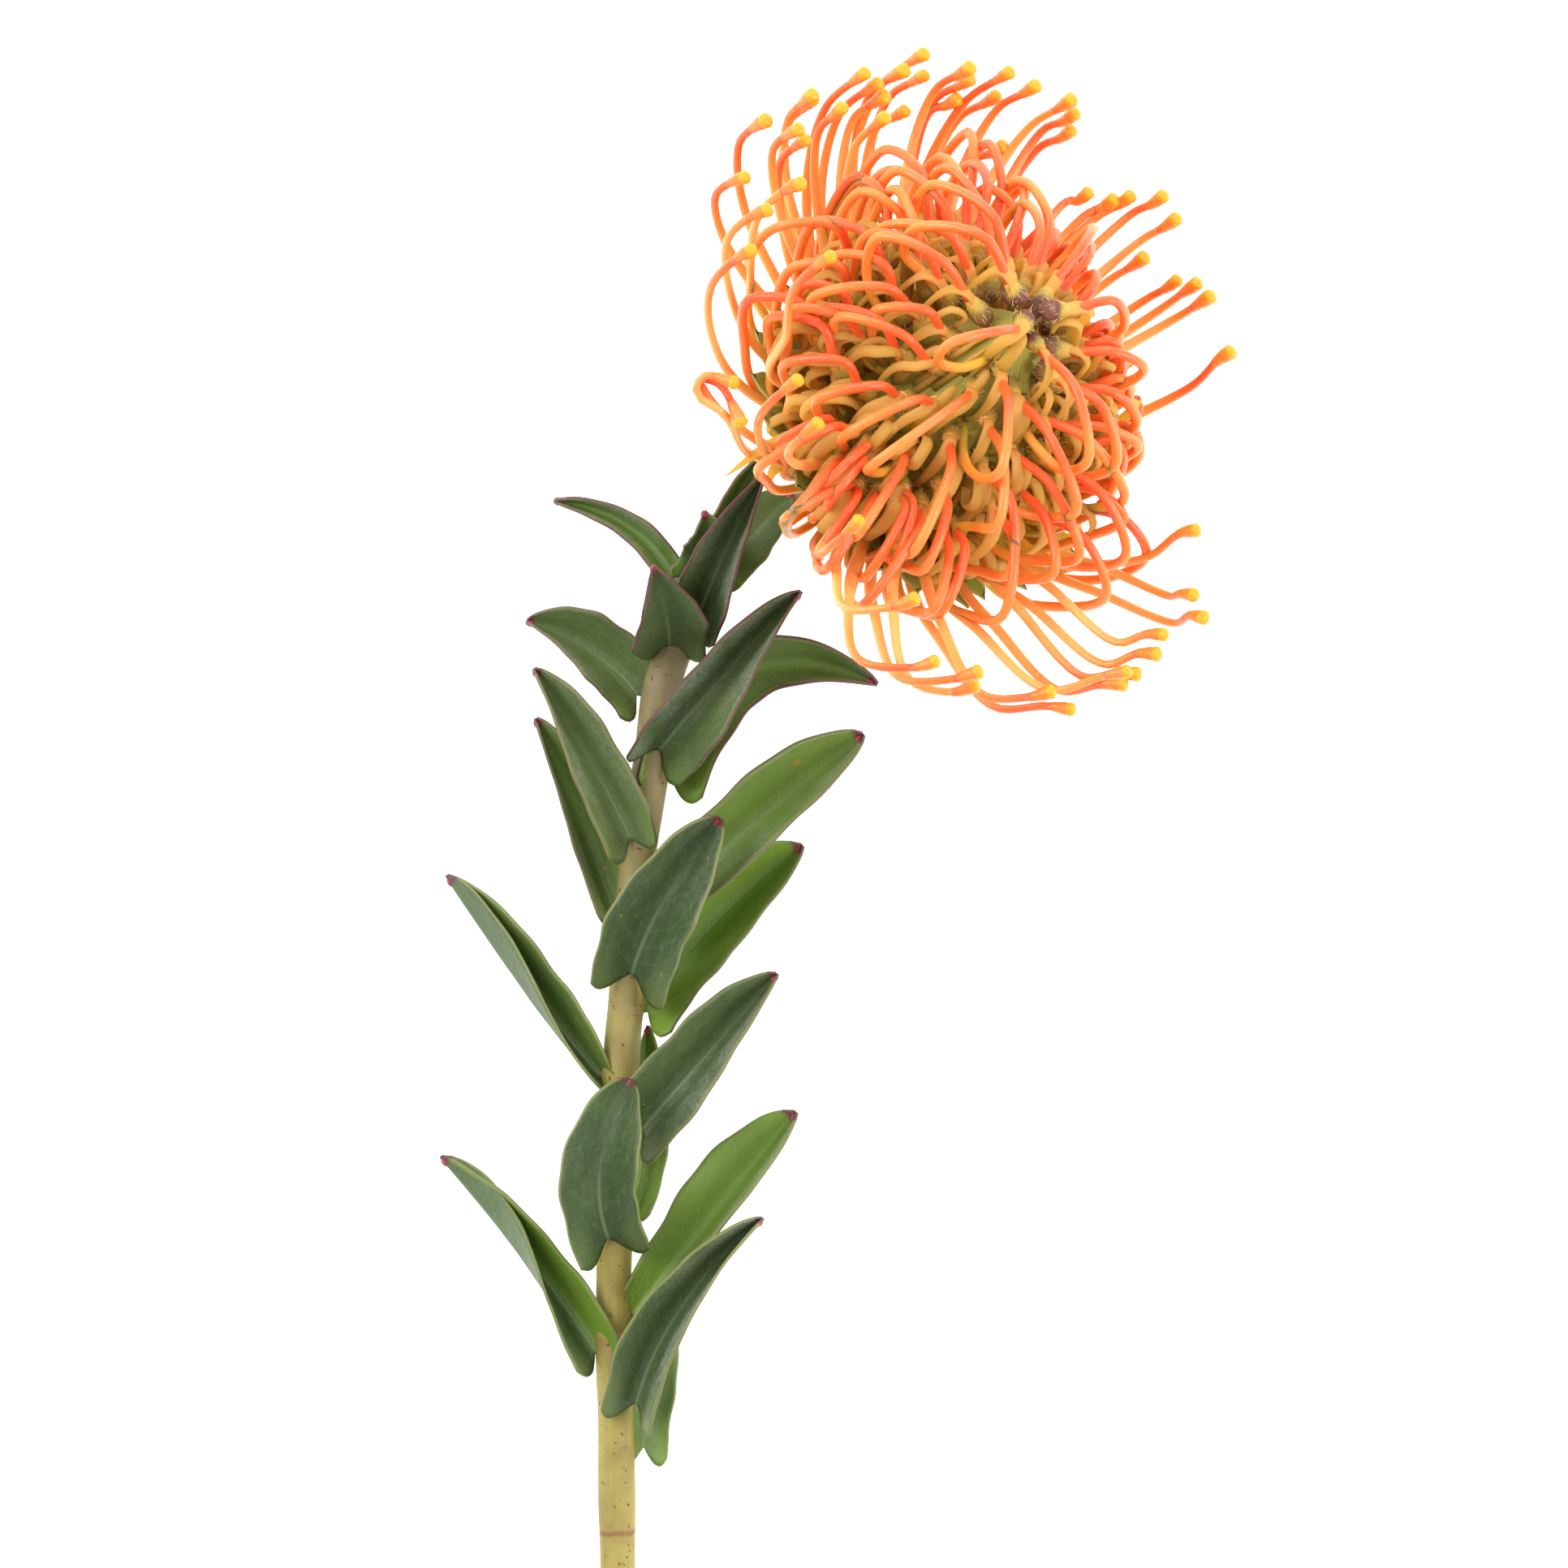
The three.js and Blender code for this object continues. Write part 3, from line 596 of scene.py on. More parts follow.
class ProteaColours(bpy.types.PropertyGroup):
    """Colours of the stem's pieces."""

    bark: colour_property("Bark", "Yellow-olive skin of the stem", (158, 144, 70))
    bark_dark: colour_property("Bark dark", "Browned streaks of the stem's skin", (130, 112, 58))
    bark_speck: colour_property("Bark speck", "Reddish-brown specks on the stem", (116, 52, 34))
    bark_felt: colour_property("Bark felt", "Grey felt on the young end of the stem", (134, 120, 88))
    cut_wood: colour_property("Cut wood", "Wood at the cut end", (214, 196, 138))
    # The three leaf greens are a ramp of painted backlight: the dark green has no light painted through
    # it, the middle green is half lit, and the fresh green is painted light coming through the blade
    # from behind. Age and thinness are not their cause
    leaf_dark: colour_property("Leaf dark green", "Mature leaf", (64, 84, 44))
    leaf_mid: colour_property("Leaf green", "Leaf between mature and young", (98, 118, 62))
    leaf_backlit: colour_property("Leaf fresh green", "Young or thin leaf", (118, 150, 42))
    leaf_vein: colour_property("Leaf vein", "Midrib near the foot", (122, 146, 92))
    leaf_margin: colour_property("Leaf margin", "Pale margin", (134, 144, 84))
    leaf_red: colour_property("Leaf red margin", "Maroon margin of the upper leaves", (104, 62, 62))
    leaf_tip: colour_property("Leaf tip", "Red callus at the tip", (176, 44, 70))
    # Silver hairs, also painted as a sheen where they catch the light
    leaf_felt_sheen: colour_property("Leaf felt", "Silver hairs", (186, 190, 176))
    leaf_spot: colour_property("Leaf spot", "Brown and yellow flecks", (170, 128, 50))
    style_foot: colour_property("Style foot", "Foot of a style", (208, 186, 76))
    style_low: colour_property("Style low", "Lower third of a style", (240, 166, 66))
    style_pale: colour_property("Style pale", "Thin, lit middle of an open style", (244, 176, 106))
    style_bend: colour_property("Style bend", "Bend of a style", (244, 138, 64))
    style_top: colour_property("Style top", "Red-orange upper part of a style", (234, 92, 46))
    presenter: colour_property("Presenter", "Swollen orange end of a style", (238, 128, 44))
    pollen: colour_property("Pollen", "Yellow faceted tip", (222, 160, 0))
    strap: colour_property("Strap", "Straw-coloured strap", (250, 216, 118))
    strap_deep: colour_property("Strap deep", "Ochre foot of a strap", (230, 202, 76))
    knob: colour_property("Knob", "Brown-purple end of a knob", (112, 60, 52))
    knob_root: colour_property("Knob root", "Golden root of a knob", (226, 168, 76))
    knob_olive: colour_property("Knob olive", "Olive middle of a knob", (172, 152, 56))
    hair: colour_property("Hair", "White hairs", (248, 218, 158))
    cone: colour_property("Cone", "Green cone of the head", (188, 180, 86))
    cone_deep: colour_property("Cone deep", "Hollows of the cone", (150, 152, 44))
    bract: colour_property("Bract", "Felted bract", (178, 194, 98))


def head_point(height, reach, turn):
    """A place on the flower head: height along its axis, distance from it, and turn."""
    across = HEAD_NEAR * math.cos(turn) + HEAD_SIDE * math.sin(turn)
    return HEAD_BASE + HEAD_AXIS * height + across * reach


def aside(turn):
    """The direction round the head at this turn."""
    return HEAD_SIDE * math.cos(turn) - HEAD_NEAR * math.sin(turn)


def pressed(points, least):
    """The points, with those that would sink too low pressed flat over the surface."""
    for point in points:
        point.z = max(point.z, least)
    return points


def cone_radius(sizes, height):
    """Radius of the head's green cone: a cup up to its widest place, and blunt above it."""
    radius = sizes.receptacle_radius / MM
    if height < CONE_WIDEST:
        return mix(CONE_FOOT, radius, math.sin(max(0.0, height) / CONE_WIDEST * math.pi / 2))
    past = min(1.0, (height - CONE_WIDEST) / (sizes.receptacle_length / MM - CONE_WIDEST))
    return radius * (1 - past ** 1.8) ** 0.8


def seen_at(x, y, height):
    """Reach and turn of the place at this height that shows at x, y from above."""
    middle = head_point(height, 0, 0)
    along = (x - middle.x) * HEAD_AXIS.x + (y - middle.y) * HEAD_AXIS.y
    near = along / (HEAD_NEAR.x * HEAD_AXIS.x + HEAD_NEAR.y * HEAD_AXIS.y)
    side = (x - middle.x) * HEAD_SIDE.x + (y - middle.y) * HEAD_SIDE.y
    return math.hypot(side, near), math.atan2(side, near)


def open_style_route(sizes, number):
    """Route and turn of an open style: out of the cone, up in a bow, and hooked in at the tip."""
    x, y, rise = OPEN_TIPS[number]
    top = HEAD_MIDDLE + rise
    reach, turn = seen_at(x, y, top)
    start = 3 + 13 * (number * 0.618 % 1)
    root = cone_radius(sizes, start)
    bow = profile(OPEN_BOWS, math.degrees(turn))
    swing = profile(OPEN_SWINGS, math.degrees(turn))
    drawn_in = ease(0, 0.45, turn) * (1 - ease(1.2, 1.7, turn))
    route = [
        head_point(start, root - ROOT_DEPTH, turn - 1.5 * swing),
        head_point(mix(start, top, 0.12), 29 * bow, turn - 1.5 * swing),
        head_point(mix(start, top, 0.38), reach * (0.88 - 0.16 * drawn_in) * bow, turn - 1.5 * swing),
        head_point(mix(start, top, 0.7), (reach + 1) * bow, turn - swing),
        head_point(top - 3, reach * (0.25 + 0.75 * bow) + 1, turn - 0.3 * swing),
        head_point(top + 0.2, reach + TIP_LENGTHENING, turn),
    ]
    if number in OPEN_FOLDS:
        route[2:5] = [Vector((*place, route[5].z - 2)) for place in OPEN_FOLDS[number]]
    return pressed(route, STYLE_LEAST), turn


def held_places(sizes):
    """Number, turn and share (0 at the top of the head, 1 at its rim) of each held floret."""
    places = []
    for number in range(sizes.held_styles):
        turn = number * GOLDEN_ANGLE
        share = math.sqrt((number + 0.5) / sizes.held_styles)
        near = abs(math.remainder(turn - PARTING_TURN, math.tau)) < PARTING_HALF
        parted = near and PARTING_FROM < share < PARTING_TO
        if not parted:
            places.append((number, turn, share))
    for number, (turn, share) in enumerate(HANGING_LOOPS, sizes.held_styles):
        places.append((number, turn, share))
    return places


def held_floret(sizes, number, turn, share):
    """Routes of a held style, of the strap that carries its knob, and of the free strap beside it."""
    lower = max(0.0, math.cos(turn))
    degrees = math.degrees(math.remainder(turn, math.tau))
    start = max(1, mix(sizes.receptacle_length / MM - 3, 7 - 5 * lower, share))
    root = cone_radius(sizes, start)
    bow = profile(HELD_BOWS, degrees) + spread(number + 0.4, 0.1)
    out_height = mix(45, 25 - 10 * lower, share) + spread(number + 0.1, 2.5)
    out_reach = mix(21, 41, share) * bow
    knob_height = mix(48.5, 27 - 8 * lower, share) + spread(number + 0.2, 1.5)
    knob_reach = mix(3.4, 26, share ** 1.4) + spread(number + 0.3, 0.8)
    lean = profile(HELD_LEANS, degrees) * (1.2 - share)
    lean += spread(number + 0.7, 0.22)
    style = [
        head_point(start, root - ROOT_DEPTH, turn),
        head_point(start + 2, mix(root, out_reach, 0.55), turn + lean * 0.6),
        head_point(mix(start, out_height, 0.6), out_reach - 1.5 - 6 * lower * share, turn + lean),
        head_point(out_height + 4, out_reach, turn + lean),
        head_point(knob_height + 5.5, mix(knob_reach, out_reach, 0.5), turn + lean * 0.5),
        head_point(knob_height + 1.6, knob_reach + 1, turn),
    ]
    crook = 5 + spread(number + 0.6, 1)
    far = knob_reach + crook
    middle_height = mix(start, knob_height, 0.4)
    middle_reach = mix(root, far, 0.8)
    strap = [
        head_point(start + 1, root - ROOT_DEPTH, turn),
        head_point(middle_height, middle_reach, turn + lean * 0.3),
        head_point(knob_height - 1.5, far, turn + lean * 0.3),
        head_point(knob_height + 2.2, knob_reach + crook * 0.8, turn),
        head_point(knob_height + 2.6, knob_reach + crook * 0.4, turn),
        head_point(knob_height + 1.2, knob_reach, turn),
    ]
    swing = 0.1 + 1.4 / far
    swing = swing if noise(number + 0.35) > 0.5 else -swing
    tip_reach = far - 4.5
    free = [
        head_point(start + 1, root - ROOT_DEPTH, turn + swing * 0.5),
        head_point(middle_height, middle_reach, turn + swing),
        head_point(knob_height - 3, far - 0.5, turn + swing),
        head_point(knob_height + 0.5, far - 2, turn + swing),
        head_point(knob_height - 0.5, tip_reach, turn + swing),
        head_point(knob_height - 3.5, tip_reach + 0.6, turn + swing),
    ]
    return [pressed(route, STYLE_LEAST) for route in (style, strap, free)]


def leaf_width(outline, share):
    """Half width of a blade: broad at the foot, widest near the middle, blunt at the tip."""
    widest_at, foot_width = outline
    if share < widest_at:
        return mix(foot_width, 1, math.sin(share / widest_at * math.pi / 2))
    past = (share - widest_at) / (1 - widest_at)
    return max(0.06, (1 - past ** 2.6) ** 0.65)


def leaf_point(row, number, share, across):
    """Middle surface of a leaf: share runs from foot to tip, across from -1 to 1."""
    *places, half_width, left_folds, right_folds, outline = row
    foot, middle, tip = (Vector(place) for place in places)
    pull = middle * 2 - foot * 0.5 - tip * 0.5
    rest = 1 - share
    place = foot * rest * rest + pull * 2 * rest * share + tip * share * share
    tangent = ((pull - foot) * rest + (tip - pull) * share).normalized()
    level = Vector((-tangent.y, tangent.x, 0)).normalized()
    above = tangent.cross(level)

    left = math.radians(mix(*left_folds, share))
    right = math.radians(mix(*right_folds, share))
    width = half_width * leaf_width(outline, share)
    seed = number * 1.7 + (2.3 if across > 0 else 0)
    width *= 1 + 0.035 * math.sin(share * 11 + seed) + 0.022 * math.sin(share * 27 + seed * 1.9)
    step = width * across / FOLD_STEPS
    for i in range(FOLD_STEPS):
        at = across * (i + 0.5) / FOLD_STEPS
        slope = mix(-right, left, ease(-FOLD_HALF, FOLD_HALF, at))
        place += level * (step * math.cos(slope)) + above * (step * math.sin(slope))

    reach = abs(across)
    inner = math.sin(min(1.0, reach / LOBE_AT) * math.pi / 2)
    lobe = inner * math.cos(max(0.0, reach - LOBE_AT) / (1 - LOBE_AT))
    near = max(0.0, 1 - share / LOBE_END)
    place -= tangent * (LOBE_LENGTH * lobe * near * near)
    wave = math.sin(share * 13 + seed) * 0.55 * reach ** 3
    return place + above * (wave * (1 - share * 0.7))


def bark_finish(colours):
    """Olive skin of the stem, with brown streaks, red specks, one scar and felt on its young end."""
    finish = Finish("stem bark", roughness=0.62)
    along = finish.value("along")
    streaks = finish.cloud(1, detail=4, where=finish.stretch((900, 90, 900)))
    blotches = finish.cloud(140, detail=3)
    brown = finish.times(finish.band(streaks, 0.4, 0.8), 0.5)
    skin = finish.blend(brown, colours.bark, colours.bark_dark)
    skin = finish.blend(finish.band(blotches, 0.42, 0.8), skin, colours.bark_dark)
    felt = finish.times(finish.band(along, 0.35, 0.75), finish.band(finish.cloud(900), 0.1, 0.6))
    skin = finish.blend(felt, skin, colours.bark_felt)
    specks = finish.band(finish.cloud(900, detail=2, roughness=0.7), 0.65, 0.7)
    spots = finish.band(finish.cloud(260, detail=3, roughness=0.7), 0.66, 0.72)
    skin = finish.blend(finish.maths("MAXIMUM", specks, spots), skin, colours.bark_speck)
    wavy = finish.plus(along, finish.times(blotches, 0.012))
    scar = finish.minus(finish.band(wavy, 0.103, 0.105), finish.band(wavy, 0.106, 0.11))
    skin = finish.blend(finish.times(scar, 0.6), skin, colours.bark_speck)
    finish.bump(finish.plus(streaks, finish.cloud(1600, detail=2)), 0.25, 0.12)
    return finish.colour(skin)


class BuildStem(bpy.types.Operator):
    """Stem with its uneven skin, the pads that carry the leaves and its cut end"""

    bl_idname = "protea.stem"
    bl_label = "Stem"

    def execute(self, context):
        sizes = context.scene.protea_sizes
        colours = context.scene.protea_colours
        route = [Vector(p) for p in STEM_ROUTE]
        route += [HEAD_BASE - HEAD_AXIS * 4, HEAD_BASE + HEAD_AXIS]
        blank = straight_rod("stem blank", 28, 170)
        piece = Piece("along")
        radius = sizes.stem_radius / MM

        def thickness(share):
            return radius - STEM_THINNING * ease(0.9, 1, share) + STEM_UNEVEN * math.sin(share * 60)

        piece.add_rod(blank, route, Vector((0, 0, 1)), thickness, floor=STEM_FLOOR)
        feet = [Vector(row[0]) for row in LEAF_ROWS]
        for vert in piece.bm.verts:
            for foot in feet:
                gap = (vert.co - foot).length
                if gap < PAD_REACH:
                    vert.co += (foot - vert.co).normalized() * PAD_HEIGHT * (1 - gap / PAD_REACH) ** 2
        ends = [f for f in piece.bm.faces if len(f.verts) > 4]
        cut = min(ends, key=lambda f: f.calc_center_median().y)
        cut.material_index = 1
        ring = bmesh.ops.inset_region(piece.bm, faces=[cut], thickness=BARK_THICKNESS)
        for face in ring["faces"]:
            face.material_index = 0

        wood = Finish("stem cut wood", roughness=0.8)
        wood_colour = wood.blend(wood.cloud(500, detail=4), colours.cut_wood, colours.bark)
        finishes = [bark_finish(colours), wood.colour(wood_colour)]
        piece.finish("stem_skin", "stem", finishes, nodes=["stem"])
        return {"FINISHED"}


def leaf_finish(colours, name, pale, felt_sheen_share, roughness):
    """Green of one face of the leaves, with painted backlight, its veins, flecks, silver felt with
    painted sheen, and red tip.
    """
    finish = Finish(name, roughness=roughness)
    across = finish.value("across")
    along = finish.value("along")
    side = finish.maths("ABSOLUTE", across)
    # Painted backlight: the glow value, varied at random by the clouds, lifts the green from dark to
    # bright yellow-green where light would come through the blade from behind
    clouds = finish.cloud(120, detail=3)
    glow = finish.times(finish.minus(clouds, 0.5), 0.5)
    glow = finish.plus(finish.value("glow"), glow, clamp=True)
    green = finish.ramp(
        glow, (0.0, colours.leaf_dark), (0.45, colours.leaf_mid), (1.0, colours.leaf_backlit)
    )
    if pale:
        green = finish.blend(pale, green, colours.leaf_vein)
    blade = finish.vector(finish.times(across, 9.0), finish.times(along, 12.0))
    mottle = finish.band(finish.cloud(1, detail=4, where=blade), 0.45, 0.75)
    green = finish.blend(finish.times(mottle, 0.2), green, colours.leaf_vein)

    blade = finish.vector(finish.times(across, 3.0), finish.times(along, 14.0))
    wander = finish.times(finish.cloud(1, detail=2, where=blade), 9.0)
    lines = finish.minus(finish.times(along, 58.0), finish.times(side, 16.0))
    lines = finish.maths("SINE", finish.plus(lines, wander))
    veins = finish.times(finish.band(lines, 0.7, 1.0), 0.11)
    midrib = finish.minus(1.0, finish.band(side, 0.015, 0.07))
    foot = finish.minus(1.0, finish.band(along, 0.1, 0.75))
    rib = finish.times(midrib, finish.plus(finish.times(foot, 0.7), 0.06))
    skin = finish.blend(finish.maths("MAXIMUM", veins, rib), green, colours.leaf_vein)

    flecks = finish.band(finish.cloud(420, detail=2, roughness=0.6), 0.71, 0.76)
    skin = finish.blend(flecks, skin, colours.leaf_spot)
    # Silver felt in streaks and patches: partly real hairs, partly painted sheen where the hairs catch
    # the light
    strands = finish.stretch((2600, 800, 2600), (0, 0, 0.6))
    strands = finish.cloud(1, detail=5, roughness=0.75, where=strands)
    patches = finish.band(finish.cloud(90, detail=2), 0.22, 0.55)
    felt = finish.times(finish.band(strands, 0.3, 0.74), patches)
    felt = finish.times(finish.times(felt, finish.value("felt")), felt_sheen_share)
    skin = finish.blend(felt, skin, colours.leaf_felt_sheen)

    rim = finish.blend(finish.value("red"), colours.leaf_margin, colours.leaf_red)
    edge = finish.band(side, 0.965, 0.995) if name != "leaf margin" else 1.0
    skin = finish.blend(edge, skin, rim)
    tip = finish.band(finish.plus(along, finish.times(clouds, 0.02)), 0.965, 0.99)
    skin = finish.blend(tip, skin, colours.leaf_red)

    grain = finish.plus(finish.cloud(1500, detail=2), finish.times(veins, 4.0))
    swell = finish.times(finish.cloud(170, detail=1), 2.5)
    finish.bump(finish.plus(finish.minus(grain, midrib), swell), 0.35, 0.25)
    through = finish.blend(0.3, skin, colours.leaf_backlit)
    return finish.colour(skin, light_through=0.2, through=through)


def add_bead(beads, row, number, radius):
    """Adds the red bead at the tip of a leaf: a ball that is drawn flat as the leaf is."""
    old = set(beads.bm.verts)
    bmesh.ops.create_uvsphere(beads.bm, u_segments=14, v_segments=9, radius=radius)
    tip = leaf_point(row, number, BEAD_AT, 0)
    tangent = (tip - leaf_point(row, number, BEAD_FROM, 0)).normalized()
    left = leaf_point(row, number, BEAD_FROM, 0.5)
    level = (left - leaf_point(row, number, BEAD_FROM, -0.5)).normalized()
    above = tangent.cross(level)
    for vert in (v for v in beads.bm.verts if v not in old):
        x, y, z = vert.co
        vert.co = tip + level * (x * 0.8) + tangent * y + above * (z * 0.55)
        vert.co.z = max(vert.co.z, ROD_FLOOR)


class BuildLeaves(bpy.types.Operator):
    """The 22 leaves: stalkless blades with a clasping foot, a fold and a red tip"""

    bl_idname = "protea.leaves"
    bl_label = "Leaves"

    def execute(self, context):
        sizes = context.scene.protea_sizes
        colours = context.scene.protea_colours
        finishes = [leaf_finish(colours, *face) for face in LEAF_FACES]
        thickest = sizes.leaf_midrib / MM
        blade = sizes.leaf_thickness / sizes.leaf_midrib
        beads = Piece()
        for number, row in enumerate(LEAF_ROWS):
            piece = Piece("across", "along", "glow", "red", "felt")
            layers = piece.layers
            deform = piece.bm.verts.layers.deform.verify()
            bmesh.ops.create_grid(piece.bm, x_segments=16, y_segments=40, size=1)
            left, right, red, felt = LEAF_LOOKS[number]
            for vert in piece.bm.verts:
                across = -vert.co.x
                share = (vert.co.y + 1) / 2
                keel = (1 - ease(0.0, 0.14, abs(across))) * (1 - ease(0.1, 0.8, share))
                thick = max(blade, keel)
                folds = row[4] if across > 0 else row[5]
                # The felt is strongest where a half is folded steeply: painted sheen where the hairs on
                # the fold catch the light
                steep = ease(45, 85, mix(*folds, share)) * ease(0.15, 0.5, abs(across))
                lobe = (1 - ease(0.02, 0.24, share)) * ease(0.3, 0.8, abs(across))
                vert[deform][0] = thick
                vert.co = leaf_point(row, number, share, across)
                vert.co.z = max(vert.co.z, thick * thickest / 2 + LEAF_CLEARANCE)
                vert[layers["across"]] = across
                vert[layers["along"]] = share
                # Painted backlight: each half as bright as its look gives, and brighter still at the
                # lobes of the foot
                vert[layers["glow"]] = mix(right, left, ease(-0.1, 0.1, across)) + 0.35 * lobe
                vert[layers["red"]] = red
                vert[layers["felt"]] = felt * mix(0.08, 1.1, steep)
            name = f"leaf_{number + 1:02d}"
            leaf = piece.finish(f"{name}_blade", "leaf", finishes, nodes=[name])
            leaf.vertex_groups.new(name="thickness")
            wall = leaf.modifiers.new("wall", "SOLIDIFY")
            wall.thickness = sizes.leaf_midrib
            wall.offset = 0
            wall.vertex_group = "thickness"
            wall.material_offset = 1
            wall.material_offset_rim = 2
            add_bead(beads, row, number, sizes.leaf_bead / MM)
        bead = Finish("leaf bead", roughness=0.4)
        skin = bead.blend(bead.band(bead.cloud(700), 0.45, 0.7), colours.leaf_tip, colours.leaf_red)
        beads.finish("leaf_beads", "leaf", [bead.colour(skin)])
        return {"FINISHED"}


class BuildReceptacle(bpy.types.Operator):
    """Green cone that all florets stand on"""

    bl_idname = "protea.receptacle"
    bl_label = "Receptacle"

    def execute(self, context):
        sizes = context.scene.protea_sizes
        colours = context.scene.protea_colours
        piece = Piece("along", "around")
        length = sizes.receptacle_length / MM
        rings = 22
        verts = []
        for ring in range(rings + 1):
            height = length * ring / rings
            verts.append(piece.bm.verts.new(head_point(height, cone_radius(sizes, height), 0)))
        for here, there in zip(verts, verts[1:]):
            piece.bm.edges.new((here, there))
        bmesh.ops.spin(
            piece.bm, geom=piece.bm.verts[:] + piece.bm.edges[:], cent=HEAD_BASE, axis=HEAD_AXIS,
            angle=2 * math.pi, steps=40, use_merge=True,
        )
        bmesh.ops.remove_doubles(piece.bm, verts=piece.bm.verts, dist=0.01)
        holes = [e for e in piece.bm.edges if e.is_boundary]
        bmesh.ops.holes_fill(piece.bm, edges=holes, sides=0)
        bmesh.ops.recalc_face_normals(piece.bm, faces=piece.bm.faces)
        for vert in piece.bm.verts:
            from_base = vert.co - HEAD_BASE
            vert[piece.layers["along"]] = from_base.dot(HEAD_AXIS) / length
            turn = math.atan2(from_base.dot(HEAD_SIDE), from_base.dot(HEAD_NEAR))
            vert[piece.layers["around"]] = abs(turn) / math.pi
        finish = Finish("green cone", roughness=0.6)
        dents = finish.cloud(350, detail=3)
        wall = finish.vector(finish.times(finish.value("around"), 40.0), finish.value("along"))
        streaks = finish.cloud(1, detail=4, where=wall)
        skin = finish.blend(finish.band(streaks, 0.35, 0.7), colours.cone, colours.cone_deep)
        skin = finish.blend(finish.band(dents, 0.6, 0.8), skin, colours.strap)
        finish.bump(dents, 0.6, 0.8)
        finish.flesh(0.4, 1.5)
        piece.finish("receptacle", "receptacle", [finish.colour(skin)], nodes=["flower_head"])
        return {"FINISHED"}


def felt_finish(name, colours, base, tip, through):
    """Thin flesh that is striped along its length and covered with short felt, with pale edges that are
    partly painted highlight.
    """
    finish = Finish(name, roughness=0.62)
    along = finish.value("along")
    tone = finish.value("tone")
    across = finish.value("across")
    ribbon = finish.vector(finish.times(across, 5.0), finish.times(along, 2.0), tone)
    stripes = finish.cloud(1, detail=3, where=ribbon)
    skin = finish.ramp(along, (0.0, colours.cone_deep), (0.25, base), (0.6, tip), (1.0, tip))
    skin = finish.blend(finish.times(tone, 0.6), skin, base)
    skin = finish.blend(finish.times(finish.band(stripes, 0.42, 0.7), 0.4), skin, colours.hair)
    # Pale edges: partly the hairy margin, partly a painted highlight along the rims
    edge = finish.band(finish.maths("ABSOLUTE", across), 0.7, 1.0)
    skin = finish.blend(finish.times(edge, 0.45), skin, colours.hair)
    fuzz = finish.cloud(2400, detail=3)
    skin = finish.blend(finish.times(finish.band(fuzz, 0.5, 0.75), 0.25), skin, colours.hair)
    finish.bump(finish.plus(fuzz, stripes), 0.5, 0.2)
    return finish.colour(skin, light_through=through)


class BuildBracts(bpy.types.Operator):
    """Pointed, felted bracts that cup the underside of the head"""

    bl_idname = "protea.bracts"
    bl_label = "Bracts"

    def execute(self, context):
        sizes = context.scene.protea_sizes
        colours = context.scene.protea_colours
        piece = Piece("across", "along", "tone")
        for number in range(sizes.bracts):
            turn = number * GOLDEN_ANGLE
            share = number / sizes.bracts
            start = mix(-1.5, 7, share)
            length = mix(6, 3.5, share)
            width = mix(2.4, 2.9, share)
            flare = mix(1, 15.5, ease(0, 0.75, share)) + spread(number + 0.8, 1.5)
            bend = spread(number + 0.7, 0.12)
            tone = noise(number + 0.6) * 0.4
            old = set(piece.bm.verts)
            bmesh.ops.create_grid(piece.bm, x_segments=6, y_segments=8, size=1)
            for vert in (v for v in piece.bm.verts if v not in old):
                across = vert.co.x
                up = (vert.co.y + 1) / 2
                half = width * math.sqrt(max(0.0, 1 - up ** 3.5)) + 0.12
                lift = 0.8 + flare * up + spread(number, 0.3) - 0.5 * across * across
                reach = cone_radius(sizes, start) + lift
                curl = 1.6 * up ** 3
                middle = head_point(start + up * length + curl, reach, turn + bend * up)
                vert.co = middle + aside(turn) * (across * half)
                vert[piece.layers["across"]] = across
                vert[piece.layers["along"]] = up
                vert[piece.layers["tone"]] = tone
        finish = felt_finish("bract felt", colours, colours.bract, colours.bract, 0.35)
        bracts = piece.finish("bracts", "bract", [finish])
        wall = bracts.modifiers.new("wall", "SOLIDIFY")
        wall.thickness = BRACT_THICKNESS * MM
        wall.offset = -1
        return {"FINISHED"}


def style_finish(name, colours, stops):
    """Glossy flesh of a style: pale at the foot, red-orange where it bends."""
    finish = Finish(name, roughness=0.3)
    along = finish.value("along")
    tone = finish.value("tone")
    shift = finish.times(finish.minus(tone, 0.5), 0.3)
    skin = finish.ramp(finish.plus(along, shift, clamp=True), *stops)
    mottle = finish.cloud(260, detail=2)
    skin = finish.blend(finish.times(mottle, 0.2), skin, colours.style_low)
    finish.bump(finish.cloud(1300, detail=2), 0.12, 0.15)
    finish.flesh(0.9, 1.8)
    return finish.colour(skin)


class BuildHeldStyles(bpy.types.Operator):
    """Looped styles, whose tips are still held"""

    bl_idname = "protea.held_styles"
    bl_label = "Held styles"

    def execute(self, context):
        sizes = context.scene.protea_sizes
        colours = context.scene.protea_colours
        piece = Piece("along", "tone")
        blank = straight_rod("held style blank", 10, 36)
        radius = sizes.style_radius / MM

        def thickness(share):
            return radius * (0.94 + 0.1 * math.sin(share * math.pi))

        for number, turn, share in held_places(sizes):
            route, _, _ = held_floret(sizes, number, turn, share)
            high = 1 - ease(0.3, 0.6, share)
            hanging = ease(0.6, 0.8, share) * max(0.0, math.cos(turn - 0.2))
            tone = mix(noise(number + 0.9), 1.0, 0.5 * max(high, hanging))
            piece.add_rod(blank, route, aside(turn), thickness, tone=tone)
        finish = style_finish("held style flesh", colours, (
            (0.0, colours.style_foot), (0.18, colours.style_foot), (0.34, colours.style_low),
            (0.48, colours.style_bend), (0.64, colours.style_bend), (0.84, colours.style_top)))
        piece.finish("held_styles", "flower", [finish], nodes=["flower_head"])
        return {"FINISHED"}


